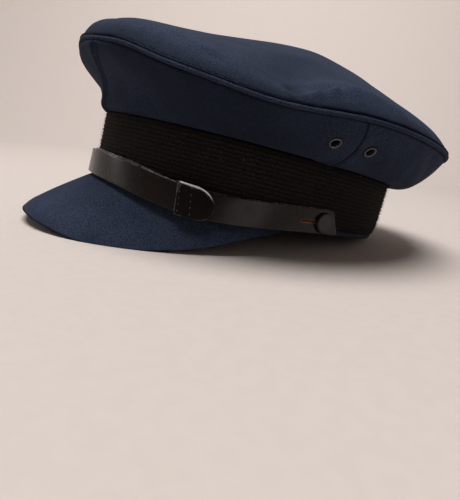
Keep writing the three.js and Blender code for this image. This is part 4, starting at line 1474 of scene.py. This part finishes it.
@dataclass(frozen=True)
class Band:
    """Ribbed mohair braid with its nap, over a cloth-covered foundation with a rolled lip."""

    wardrobe: Wardrobe
    columns: int = 640
    rows_per_rib: int = 6
    rib_power: float = 0.8
    # Painted shade under the crown's edge, over the braid's top millimetres
    shaded_from: float = 0.2
    shaded_edge: float = 4.0
    tuck: float = 2.5
    tuck_height: float = 15.0
    tuck_from: float = 104.0
    tuck_to: float = 130.0
    loose_yarn: Ripple = Ripple(seed=61, height=0.1, shortest=2.6, longest=9.0, count=16)
    hairs: int = 8000
    hair_length: Pair = (0.9, 2.8)
    hair_shortening: Pair = (0.5, 1.0)
    hair_width: float = 0.055
    hair_taper: tuple[float, ...] = (1.0, 0.7, 0.15)
    hair_sides: int = 3
    hair_lean: float = 0.75
    hair_seed: int = 5
    lip_softness: float = 1.6
    lip_steps: int = 5
    lip_line: float = 0.5

    @property
    def mean_radius(self) -> float:
        """Radius of a circle about as long as the band's oval."""
        return (FORM.band_half_length + FORM.band_half_width) / 2.0

    def build(self) -> None:
        """Makes every piece of the band."""
        self.build_braid()
        self.build_nap()
        self.build_foundation()

    def tucked(self, bearing: Array, up: Array) -> Array:
        """How far the lower edge curls in at the back: the squared share of the height left below a level."""
        behind = smooth(turned(bearing), self.tuck_from, self.tuck_to)
        return self.tuck * behind * np.clip(1.0 - up / self.tuck_height, 0.0, 1.0) ** 2

    def ring(self, section: Array, marks: Marks, slant: Array | float = 0.0,
             loose: Array | float = 0.0) -> Skin:
        """Section of distances out and up carried round the band's oval.

        Args:
            section: A closed loop of points.
            marks: Values of the section's points by name.
            slant: How far the yarns run on round the band at the section's points and again at its first.
            loose: Share of the loose yarns' waves that moves each of the section's points in and out.

        Returns:
            The skin of the ring.
        """
        bearing = ring_steps(self.columns)[:, None]
        up = section[None, :, 1] + 0.0 * bearing
        wave = loose * self.loose_yarn.lift(bearing * self.mean_radius, up)
        grid = FORM.band_point(bearing, section[None, :, 0] + wave - self.tucked(bearing, up), up)
        u = np.linspace(0.0, math.tau, self.columns + 1)[:, None] * self.mean_radius + slant
        v = lengths(np.concatenate([section, section[:1]]), 0)[None, :]
        spread = {name: np.broadcast_to(value, grid.shape[:2]) for name, value in marks.items()}
        return wrap_skin(grid, cloth_uv(u, v), (True, True), spread)

    def build_braid(self) -> None:
        """Makes the braid: each rib is a power of a half sine wave, with yarns that slant in turns."""
        count = FORM.ribs * self.rows_per_rib
        up = np.linspace(FORM.lip, FORM.band_height, count + 1)
        rib = np.linspace(0.0, FORM.ribs, count + 1)
        crest = np.abs(np.sin(math.pi * rib)) ** self.rib_power
        slant = (FORM.band_height - FORM.lip) / FORM.ribs * np.abs(rib % 2.0 - 1.0)
        face = np.stack([FORM.rib_relief * (crest - 1.0), up], axis=-1)
        back = np.array([[-FORM.ribbed_wall, FORM.band_height], [-FORM.ribbed_wall, FORM.lip]])
        # Painted shade: the crest mark falls in the grooves and under the crown's edge
        lit = crest * smooth(FORM.band_height - up, self.shaded_from, self.shaded_edge)
        flat = np.zeros(len(back))
        marks = {"crest": np.concatenate([lit, flat])}
        slant = np.concatenate([slant, flat, [0.0]])[None, :]
        skin = self.ring(np.concatenate([face, back]), marks, slant, np.concatenate([crest, flat]))
        make_piece("mohair_braid", skin, self.wardrobe.braid, Slot.BRAID, "mohair_band")

    def build_nap(self) -> None:
        """Makes the nap: tapered hairs, each bent along a parabola from a root on the braid."""
        rng = np.random.default_rng(self.hair_seed)
        bearing = rng.uniform(-math.pi, math.pi, self.hairs)
        up = rng.uniform(FORM.lip, FORM.band_height, self.hairs)
        length = rng.uniform(*self.hair_length, self.hairs) * rng.uniform(*self.hair_shortening, self.hairs)
        heading = rng.uniform(0.0, math.tau, self.hairs)[:, None]
        out = FORM.band_normal(bearing)
        level = np.stack([-out[:, 1], out[:, 0], np.zeros(self.hairs)], axis=-1)
        upright = np.array([0.0, 0.0, 1.0])
        lean = level * np.cos(heading) + upright * np.sin(heading)
        root = FORM.band_point(bearing, -FORM.rib_relief - self.tucked(bearing, up), up)
        sides, rings = self.hair_sides, len(self.hair_taper)
        share = np.linspace(0.0, 1.0, rings)[None, :, None]
        bend = share * out[:, None] + self.hair_lean * share**2 * lean[:, None]
        spine = root[:, None] + length[:, None, None] * bend
        angle = ring_steps(sides)[None, :, None]
        circle = level[:, None] * np.cos(angle) + upright * np.sin(angle)
        width = self.hair_width * np.array(self.hair_taper)
        shape = (spine[:, :, None] + circle[:, None] * width[None, :, None, None]).reshape(-1, 3)
        first = np.arange(self.hairs)[:, None, None] * (sides * rings)
        k = np.arange(sides)
        after = (k + 1) % sides
        wall = np.stack([k, after, after + sides, k + sides], axis=-1)
        quads = (first + np.concatenate([wall + sides * ring for ring in range(rings - 1)])).reshape(-1, 4)
        ends = (first + np.stack([k[::-1], k + sides * (rings - 1)])).reshape(-1, sides)
        uv = [np.zeros((*quads.shape, 2)), np.zeros((*ends.shape, 2))]
        skin = Skin(shape, [quads, ends], uv, {"crest": np.ones(len(shape))}).outward()
        make_piece("mohair_nap", skin, self.wardrobe.braid, Slot.BRAID)

    def build_foundation(self) -> None:
        """Makes the foundation band behind the braid, with the rolled lip that shows under it."""
        face = -FORM.ribbed_wall - FORM.gap
        back = face - FORM.foundation_wall
        lip_top = FORM.lip - FORM.gap
        corners = [
            (back, 0.0),
            (-FORM.lip_back, 0.0),
            (-FORM.lip_back, lip_top),
            (face, lip_top),
            (face, FORM.band_height),
            (back, FORM.band_height),
        ]
        section = rounded_loop(corners, FORM.lip_round * self.lip_softness, self.lip_steps)
        # Painted shade along the lip's top, where the braid sits on it
        skin = self.ring(section, {"seam": bell(section[:, 1], lip_top, self.lip_line)})
        make_piece("head_band_cloth", skin, self.wardrobe.wool, Slot.CLOTH, "head_band")


# The peak


@dataclass(frozen=True)
class Peak:
    """Cloth-covered peak with a rounded edge."""

    wardrobe: Wardrobe
    columns: int = 241
    slope_rows: int = 34
    edge_rows: int = 9
    edge_from: float = 0.93
    edge_line: float = 0.35
    edge_roll: float = 6.0
    edge_share: float = 0.22
    calm_across: float = 0.985
    calm_along: Pair = (0.12, 0.97)
    hinge: Pair = (-200.0, -60.0)
    held_at_edge: float = 8.0
    held_at_root: float = 0.3
    ripple: Ripple = Ripple(seed=41, height=0.1, shortest=14.0, longest=40.0)

    def build(self) -> None:
        """Makes the peak as loops over its upper face, round its edge and back under it.

        The underside lies one wall below the upper face along its normal, which is taken square to the lines
        from a hinge inside the band. Towards the edge the wall above it falls along a quarter sine wave to a
        share of itself, where the cloth is turned over.
        """
        across = np.linspace(-1.0, 1.0, self.columns)[:, None]
        slope = np.concatenate([[0.0], np.linspace(FORM.peak_margin, self.edge_from, self.slope_rows)])
        quarter = np.sin(np.linspace(0.0, math.pi / 2, self.edge_rows + 1)[1:])
        along = np.concatenate([slope, self.edge_from + (1.0 - self.edge_from) * quarter])[None, :]
        face = FORM.peak_point(*np.broadcast_arrays(across, along))
        calm_grid = np.broadcast_arrays(across * self.calm_across, np.clip(along, *self.calm_along))
        calm = FORM.peak_point(*calm_grid)
        spoke = calm - FORM.band_point(0.0 * across, *self.hinge)
        normal = unit(np.cross(np.gradient(calm, axis=0), spoke))
        normal *= np.sign(normal[..., 2:])
        to_edge = np.linalg.norm(face - face[:, -1:], axis=-1)
        rolled = np.sin(np.clip(to_edge / self.edge_roll, 0.0, 1.0) * math.pi / 2)
        wall = FORM.peak_wall * (self.edge_share + (1.0 - self.edge_share) * rolled)
        held = smooth(to_edge, 0.0, self.held_at_edge) * smooth(along, FORM.peak_margin, self.held_at_root)
        lift = self.ripple.lift(face[..., 0], face[..., 1]) * held
        below = face - normal * FORM.peak_wall
        above = below + normal * (wall + lift)[..., None]
        loop = np.concatenate([above, below[:, ::-1]], axis=1)
        line = bell(to_edge, 0.0, self.edge_line)
        seam = np.concatenate([line, line[:, ::-1]], axis=1)
        uv = cloth_uv(loop[..., 0], np.concatenate([to_edge, -to_edge[:, ::-1]], axis=1))
        uv = np.concatenate([uv, uv[:, :1]], axis=1)
        skin = wrap_skin(loop, uv, (False, True), {"seam": seam})
        make_piece("peak_cloth", skin, self.wardrobe.wool, Slot.CLOTH, "peak")


# The chin strap


@dataclass(frozen=True)
class ChinStrap:
    """Two halves of leather strap, the slides that keep them together, their stitches and the buttons."""

    wardrobe: Wardrobe
    end_bearing: float = 100.6
    inner_end: float = 57.0
    corner_length: float = 1.0
    corner_cut: float = 0.04
    end_skew: float = 3.4
    end_pivot: float = 0.35
    end_skew_length: float = 5.6
    end_corner: float = 0.14
    end_corner_length: float = 2.2
    step_from: float = 62.0
    step_to: float = 80.0
    edge_round: float = 0.6
    edge_keep: float = 0.4
    edge_shares: tuple[float, ...] = (0.0, 0.006, 0.014, 0.025, 0.042, 0.07)
    inner_shares: Pair = (0.1, 0.9)
    inner_rows: int = 13
    wear_breadth: float = 0.2
    upper_edge_pale: float = 0.25
    slide_wear: float = 0.16
    # Painted highlight along the upper edge of a slide's face
    highlight_breadth: float = 0.65
    highlight_strength: float = 2.0
    highlight_across: Pair = (0.5, 0.8)
    highlight_start: Pair = (0.02, 0.1)
    highlight_end: Pair = (0.995, 0.85)
    inner_lift: float = 0.7
    inner_lift_to: float = 46.0
    inner_lift_fade: float = 20.0
    columns: int = 330
    button_end_steps: tuple[float, ...] = (0.02, 0.08, 0.18, 0.32, 0.55, 0.9, 1.4)
    far_end_steps: tuple[float, ...] = (0.05, 0.2, 0.5)
    strap_arc: float = 93.0
    end_arc: float = 90.0
    slide_arc: float = 97.0
    slide_from: float = 48.3
    sleeve_to: float = 55.2
    slide_to: float = 59.2
    slide_skew: float = 1.5
    slide_wall: float = 0.7
    slide_face: float = 1.3
    slide_lap: float = 0.3
    sleeve_rows: int = 22
    sleeve_length: float = 11.0
    sleeve_thread: float = 12.0
    sleeve_rounds: Pair = (1.0, 0.4)
    sleeve_round_steps: int = 7
    face_columns: int = 72
    face_set_back: float = 0.03
    round_from: float = 0.45
    round_power: float = 2.4
    round_least: float = 0.02
    stitch_rows: tuple[float, ...] = (0.06, 0.38)
    stitches: int = 5
    stitch_span: Pair = (0.07, 0.93)
    stitch_radius: float = 0.2
    stitch_half_length: float = 0.55
    stitch_sunk: float = 0.05
    stitch_reach: float = 0.02
    stitch_sides: int = 8
    stitch_rings: int = 7
    stitch_tip: float = 0.98
    button_bearing: float = 94.7
    button_radius: float = 6.0
    button_thickness: float = 1.8
    button_shank: float = 1.2
    button_below: float = 0.5
    button_rim: float = 1.2
    button_slope: float = 0.5
    button_dish: float = 0.2
    button_middle: float = 0.01
    button_round: float = 0.9
    button_round_steps: int = 6
    button_columns: int = 64
    slit_from: float = 86.2
    slit_width: float = 0.6
    slit_softness: float = 0.004
    raw_margin: float = 0.25
    raw_breadth: float = 0.7

    def build(self) -> None:
        """Makes every piece of the chin strap."""
        for side in Side:
            self.build_half(side)
            self.build_slide(side)
            self.build_stitches(side)
            self.build_button(side)

    @property
    def button_level(self) -> float:
        """Share of the strap's width at which the buttons sit."""
        return 0.5 - self.button_below / FORM.strap_width

    def layer(self, bearing: Array, side: Side) -> Array:
        """How far a half stands off: the right half lies over the left one and settles on the band behind."""
        if side is Side.LEFT:
            return 0.0 * bearing
        settled = smooth(np.degrees(bearing), -self.step_to, -self.step_from)
        return (FORM.strap_wall + FORM.gap) * settled

    def half_wall(self, to_edge: Array, wall: float) -> Array:
        """Half a leather's thickness, which falls along a quarter circle to a share of it at the edge."""
        rounded = np.sqrt(np.maximum(1.0 - np.clip(1.0 - to_edge / self.edge_round, 0.0, 1.0) ** 2, 0.0))
        return wall / 2.0 * (self.edge_keep + (1.0 - self.edge_keep) * rounded)

    def edge_steps(self, middle: list[float]) -> Array:
        """Shares of a width from 0 to 1, crowded at both edges, with some given ones between."""
        edge = np.array(self.edge_shares)
        inner = np.linspace(*self.inner_shares, self.inner_rows)
        return np.unique(np.concatenate([edge, inner, 1.0 - edge, middle]))

    @staticmethod
    def faces(bearing: Array, across: Array, middle: Array | float, half: Array) -> tuple[Array, Array]:
        """Outer and inner face of a leather that lies along the strap, half its thickness from its middle."""
        outer = FORM.strap_point(bearing, across, middle + half)
        return outer, FORM.strap_point(bearing, across, middle - half)

    def build_half(self, side: Side) -> None:
        """Makes one half of the strap, with its slit, which runs up to the button's shank.

        Args:
            side: The side on which the half is buttoned.
        """
        end, far = math.radians(self.end_bearing), -math.radians(self.inner_end)
        slit = math.radians(self.slit_from), math.radians(self.button_bearing)
        even = np.linspace(far, end, self.columns)
        close = end - np.radians(self.button_end_steps)
        near = far + np.radians(self.far_end_steps)
        bearing = np.unique(np.concatenate([even, close, near, slit]))[:, None]
        level, gape = self.button_level, 0.5 * self.slit_width / FORM.strap_width
        raw_gape = gape + self.raw_margin / FORM.strap_width
        slit_steps = [level - raw_gape, level - gape, level, level + gape, level + raw_gape]
        across = self.edge_steps(slit_steps)[None, :]
        to_end = np.degrees(np.minimum(end - bearing, bearing - far))
        cut = self.corner_cut * (1.0 - np.clip(to_end / self.corner_length, 0.0, 1.0)) ** 2
        to_button = np.degrees(end - bearing)
        leaning = smooth(self.end_skew_length - to_button, 0.0, self.end_skew_length)
        skew = np.radians(self.end_skew) * (across - self.end_pivot) * leaning
        corner = self.end_corner * (1.0 - np.clip(to_button / self.end_corner_length, 0.0, 1.0)) ** 2
        signed = (bearing - skew) * side.value
        inner_lift = self.inner_lift if side is Side.LEFT else 0.0
        lifted = inner_lift * smooth(self.inner_lift_to - turned(signed), 0.0, self.inner_lift_fade)
        level_across = 0.5 + (across - 0.5) * (1.0 - 2.0 * cut) - corner * across
        level_across = level_across + lifted / FORM.strap_width
        to_side = np.minimum(across, 1.0 - across) * FORM.strap_width
        half = self.half_wall(np.minimum(to_side, np.radians(to_end) * self.end_arc), FORM.strap_wall)
        middle = FORM.strap_wall / 2.0 + self.layer(signed, side)
        outer, inner = self.faces(signed, level_across, middle, half)
        cell_bearing, cell_across = (bearing[1:] + bearing[:-1]) / 2.0, (across[:, 1:] + across[:, :-1]) / 2.0
        in_slit = (cell_bearing > slit[0]) & (cell_bearing < slit[1]) & (np.abs(cell_across - level) < gape)
        # Paler along the upper edge
        pale_upper_edge = self.upper_edge_pale * bell((1.0 - across) * FORM.strap_width, 0.0, self.wear_breadth)
        soft = self.slit_softness
        ahead = smooth(bearing, slit[0] - soft, slit[0] + soft) * smooth(slit[1] - bearing, -soft, soft)
        raw = ahead * bell(np.abs(across - level), gape, self.raw_breadth * gape)
        marks = {"edge": pale_upper_edge + 0.0 * bearing, "raw": raw}
        uv = cloth_uv(bearing * self.strap_arc, across * FORM.strap_width)
        skin = wall_skin(outer, inner, uv, keep=~in_slit, marks=marks)
        node = f"strap_{side.label}"
        make_piece(f"{node}_leather", skin, self.wardrobe.leather, Slot.LEATHER, node)

    def slide_bearing(self, share: Array, end: float, across: Array, side: Side) -> Array:
        """Bearing at a share of a slide's length; its lower edge lies a little behind its upper edge."""
        level = self.slide_from + (end - self.slide_from) * share
        return side.value * np.radians(level + self.slide_skew * (0.5 - across))

    def build_slide(self, side: Side) -> None:
        """Makes a slide: a sleeve round both halves of the strap and a face with a rounded end.

        Args:
            side: The side of the cap.
        """
        gap, wall, width = FORM.gap, self.slide_wall, FORM.strap_width
        stack = 2.0 * FORM.strap_wall + gap
        share = np.linspace(0.0, 1.0, self.sleeve_rows)[None, :]
        sleeve = []
        for margin, radius in zip((gap + wall, gap), self.sleeve_rounds):
            low, high, back, front = -margin, width + margin, -margin, stack + margin
            corners = [(low, back), (high, back), (high, front), (low, front)]
            loop = rounded_loop(corners, radius, self.sleeve_round_steps)
            across, out = loop[:, :1] / width, loop[:, 1:]
            bearing = self.slide_bearing(share, self.sleeve_to, across, side)
            sleeve.append(FORM.strap_point(bearing, across + 0.0 * share, out + 0.0 * share))
        ring = np.linspace(0.0, 2.0 * (width + stack), sleeve[0].shape[0] + 1)[:, None]
        ends = np.minimum(share, 1.0 - share) * self.sleeve_length + 0.0 * ring[:-1]
        marks = {"edge": self.slide_wear * bell(ends, 0.0, self.wear_breadth), "raw": 0.0 * ends}
        skin = wall_skin(*sleeve, cloth_uv(ring, share * self.sleeve_thread), ring=True, marks=marks)
        skin = skin.joined(self.face_skin(side, stack + gap))
        node = f"slide_{side.label}"
        make_piece(f"{node}_leather", skin, self.wardrobe.slide, Slot.LEATHER, node)

    def face_skin(self, side: Side, seat: float) -> Skin:
        """Skin of a slide's face: a strip whose half width falls as a root of one less a power at its end.

        Args:
            side: The side of the cap.
            seat: How far out the sleeve's inner face lies.

        Returns:
            The skin of the face.
        """
        width = FORM.strap_width
        share = np.sin(np.linspace(0.0, math.pi / 2, self.face_columns))[:, None]
        past = np.clip(share - self.round_from, 0.0, None) / (1.0 - self.round_from)
        rounded = np.maximum(np.sqrt(np.maximum(1.0 - past**self.round_power, 0.0)), self.round_least)
        half_width = (0.5 + (FORM.gap + self.slide_wall) / width) * rounded
        step = self.edge_steps([])[None, :]
        across = 0.5 + half_width * (2.0 * step - 1.0)
        length = math.radians(self.slide_to - self.slide_from) * self.slide_arc
        to_end = np.minimum((1.0 - share) * length, share * length)
        to_edge = np.minimum(np.minimum(step, 1.0 - step) * 2.0 * half_width * width, to_end)
        thick = self.slide_face - self.slide_lap
        set_back = share - self.face_set_back * (1.0 - share)
        bearing = self.slide_bearing(set_back, self.slide_to, across, side)
        middle = seat + self.slide_lap + thick / 2.0
        outer, inner = self.faces(bearing, across, middle, self.half_wall(to_edge, thick))
        # Painted highlight along the face's upper edge, fading at both ends
        rubbed = smooth(step, *self.highlight_across) * smooth(share, *self.highlight_start)
        rubbed *= smooth(share, *self.highlight_end)
        rubbed *= np.clip(self.highlight_strength * bell(to_edge, 0.0, self.highlight_breadth), 0.0, 1.0)
        worn = np.maximum(self.slide_wear * bell(to_edge, 0.0, self.wear_breadth), rubbed)
        marks = {"edge": worn, "raw": 0.0 * to_edge}
        return wall_skin(outer, inner, cloth_uv(share * length, across * width), marks=marks)

    def build_stitches(self, side: Side) -> None:
        """Makes the stitches across a slide's face: ellipsoids along the rows, half sunk in the leather.

        Args:
            side: The side of the cap.
        """
        places = np.linspace(*self.stitch_span, self.stitches)
        row, step = (grid.ravel() for grid in np.meshgrid(self.stitch_rows, places, indexing="ij"))
        out = 2.0 * FORM.strap_wall + 2.0 * FORM.gap + self.slide_face - self.stitch_sunk
        bearing = self.slide_bearing(row, self.slide_to, step, side)
        middle = FORM.strap_point(bearing, step, out)
        tip = FORM.strap_point(bearing, step + self.stitch_reach, out)
        along = unit(tip - FORM.strap_point(bearing, step - self.stitch_reach, out))
        level = unit(np.cross(along, FORM.band_normal(bearing)))
        away = np.cross(level, along)
        angle = ring_steps(self.stitch_sides)[None, :, None, None]
        height = np.linspace(-self.stitch_tip, self.stitch_tip, self.stitch_rings)[None, None, :, None]
        girth = np.sqrt(1.0 - height**2)
        circle = level[:, None, None] * np.cos(angle) + away[:, None, None] * np.sin(angle)
        bulge = circle * girth * self.stitch_radius
        grid = middle[:, None, None] + bulge + along[:, None, None] * height * self.stitch_half_length
        uv = np.zeros((self.stitch_sides + 1, self.stitch_rings, 2))
        skins = [wrap_skin(stitch, uv, (True, False)) for stitch in grid]
        skin = reduce(Skin.joined, skins)
        make_piece(f"slide_{side.label}_stitches", skin, self.wardrobe.thread, Slot.LEATHER)

    def build_button(self, side: Side) -> None:
        """Makes a button: a disc with a raised rounded rim on a shank through the strap.

        Args:
            side: The side of the cap.
        """
        gap, radius, shank, middle = FORM.gap, self.button_radius, self.button_shank, self.button_middle
        top, foot = gap + self.button_thickness, gap - FORM.strap_wall - FORM.strap_seat
        rim, dish = radius - self.button_rim, top - self.button_dish
        corners = [(shank, gap), (radius, gap), (radius, top), (rim, top),
                   (rim - self.button_slope, dish), (middle, dish)]
        steps = self.button_round_steps
        edge = rounded_loop(corners, self.button_round, steps)[steps:-steps]
        profile = np.concatenate([[(middle, foot), (shank, foot), (shank, gap)], edge, [(middle, dish)]])
        place, axis = seat_on(
            lambda bearing, across: FORM.strap_point(bearing, across, FORM.strap_wall),
            self.button_bearing, self.button_level, side,
        )
        node = f"button_{side.label}"
        skin = turned_skin(profile, place, axis, self.button_columns)
        make_piece(f"{node}_disc", skin, self.wardrobe.button, Slot.BUTTON, node)


# The studio


@dataclass(frozen=True)
class AreaLight:
    """A soft box: where it stands and what it points at, in metres, its size, power and colour."""

    name: str
    place: Triple
    target: Triple
    size: float
    power: float
    colour: Triple = (1.0, 0.985, 0.97)

    def build(self) -> None:
        """Hangs the light and points it."""
        lamp = bpy.data.lights.new(self.name, "AREA")
        lamp.shape, lamp.size, lamp.energy, lamp.color = "DISK", self.size, self.power, self.colour
        light = bpy.data.objects.new(self.name, lamp)
        back = unit(np.array(self.place) - np.array(self.target))
        level = unit(np.cross([0.0, 0.0, 1.0], back) + np.array([NEARLY_ZERO, 0.0, 0.0]))
        turn = np.stack([level, np.cross(back, level), back], axis=1)
        light.matrix_world = Matrix.Translation(self.place) @ Matrix(turn.tolist()).to_4x4()
        light.visible_camera = False
        bpy.context.scene.collection.objects.link(light)


@dataclass(frozen=True)
class Studio:
    """Pale floor that sweeps up all round the cap, soft lights and a camera at the photograph's angle."""

    wardrobe: Wardrobe
    floor_radius: float = 0.9
    sweep_radius: float = 0.8
    wall_height: float = 1.7
    floor_rows: int = 24
    wall_rows: int = 6
    floor_columns: int = 96
    world_light: Triple = (1.0, 0.97, 0.95)
    world_strength: float = 0.1
    lights: tuple[AreaLight, ...] = (
        AreaLight("overhead_softbox", (0.1, -0.22, 1.3), (0.0, 0.0, 0.05), 0.9, 26.0),
        AreaLight("front_window", (-0.65, -0.98, 0.48), (0.0, -0.1, 0.05), 0.4, 1.4),
        AreaLight("side_card", (1.16, 0.02, 0.4), (0.08, -0.02, 0.03), 0.62, 0.65),
        AreaLight("backdrop_wash", (-0.75, 0.4, 1.35), (-1.6, 0.85, 0.65), 1.3, 17.5),
    )
    azimuth: float = 62.0
    elevation: float = 9.6
    distance: float = 328.7
    aim: Triple = (0.2, 0.9, -33.7)
    roll: float = 14.3
    focal_pixels: float = 450.0
    clip: Pair = (0.01, 20.0)

    def build(self) -> None:
        """Builds floor, lights, surroundings and camera."""
        self.build_floor()
        for light in self.lights:
            light.build()
        self.build_surroundings()
        self.build_camera()

    def build_floor(self) -> None:
        """Makes the floor: a disc that sweeps up along a quarter circle into a round wall."""
        run = np.linspace(0.0, self.floor_radius, self.floor_rows)[1:]
        bend = np.linspace(0.0, math.pi / 2, self.floor_rows)[1:]
        rise = np.linspace(self.sweep_radius, self.wall_height, self.wall_rows)[1:]
        swept = self.floor_radius + self.sweep_radius * np.sin(bend)
        out = np.concatenate([run, swept, np.full(len(rise), self.floor_radius + self.sweep_radius)])
        up = np.concatenate([0.0 * run, self.sweep_radius * (1.0 - np.cos(bend)), rise])
        angle = ring_steps(self.floor_columns)[:, None]
        grid = points(out * np.cos(angle), out * np.sin(angle), up)
        columns, rows = grid.shape[:2]
        i, j = np.meshgrid(np.arange(columns), np.arange(rows - 1), indexing="ij")
        after = (i + 1) % columns
        quads = np.stack([i * rows + j, i * rows + j + 1, after * rows + j + 1, after * rows + j], axis=-1)
        middle = (np.arange(columns) * rows)[None, :]
        mesh = bpy.data.meshes.new("studio_floor")
        mesh.from_pydata(grid.reshape(-1, 3).tolist(), [], quads.reshape(-1, 4).tolist() + middle.tolist())
        mesh.polygons.foreach_set("use_smooth", np.ones(len(mesh.polygons), bool))
        mesh.materials.append(self.wardrobe.paper)
        floor = bpy.data.objects.new("studio_floor", mesh)
        bpy.context.scene.collection.objects.link(floor)

    def build_surroundings(self) -> None:
        """Lights the room evenly from every side, and shows colours as they are measured."""
        world = bpy.data.worlds.new("studio")
        world.use_nodes = True
        background = world.node_tree.nodes["Background"]
        background.inputs["Color"].default_value = (*self.world_light, 1.0)
        background.inputs["Strength"].default_value = self.world_strength
        bpy.context.scene.world = world
        bpy.context.scene.view_settings.view_transform = "Standard"

    def build_camera(self) -> None:
        """Stands the camera where the photograph was taken from, as seen from the resting cap."""
        a, e, r = (math.radians(angle) for angle in (self.azimuth, self.elevation, self.roll))
        back = np.array([math.sin(a) * math.cos(e), -math.cos(a) * math.cos(e), math.sin(e)])
        level = unit(np.cross(-back, [0.0, 0.0, 1.0]))
        upright = np.cross(level, -back)
        right = math.cos(r) * level + math.sin(r) * upright
        up = math.cos(r) * upright - math.sin(r) * level
        place = POSE.settle(np.array(self.aim) + self.distance * back, pressed=False)
        turn = np.stack([POSE.turn(axis) for axis in (right, up, back)], axis=1)
        data = bpy.data.cameras.new("camera")
        data.sensor_width = SENSOR
        data.lens = self.focal_pixels / max(IMAGE_SIZE) * SENSOR
        data.clip_start, data.clip_end = self.clip
        camera = bpy.data.objects.new("camera", data)
        camera.matrix_world = Matrix.Translation(place.tolist()) @ Matrix(turn.tolist()).to_4x4()
        bpy.context.scene.collection.objects.link(camera)
        bpy.context.scene.camera = camera


def main() -> None:
    """Builds the studio and the cap's sub-assemblies in order."""
    logging.basicConfig(level=logging.INFO, format="%(name)s %(message)s")
    wardrobe = Wardrobe()
    Studio(wardrobe).build()
    for assembly in (Crown(wardrobe), Band(wardrobe), Peak(wardrobe), ChinStrap(wardrobe)):
        LOG.info("building %s", type(assembly).__name__)
        assembly.build()


if __name__ == "__main__":
    main()
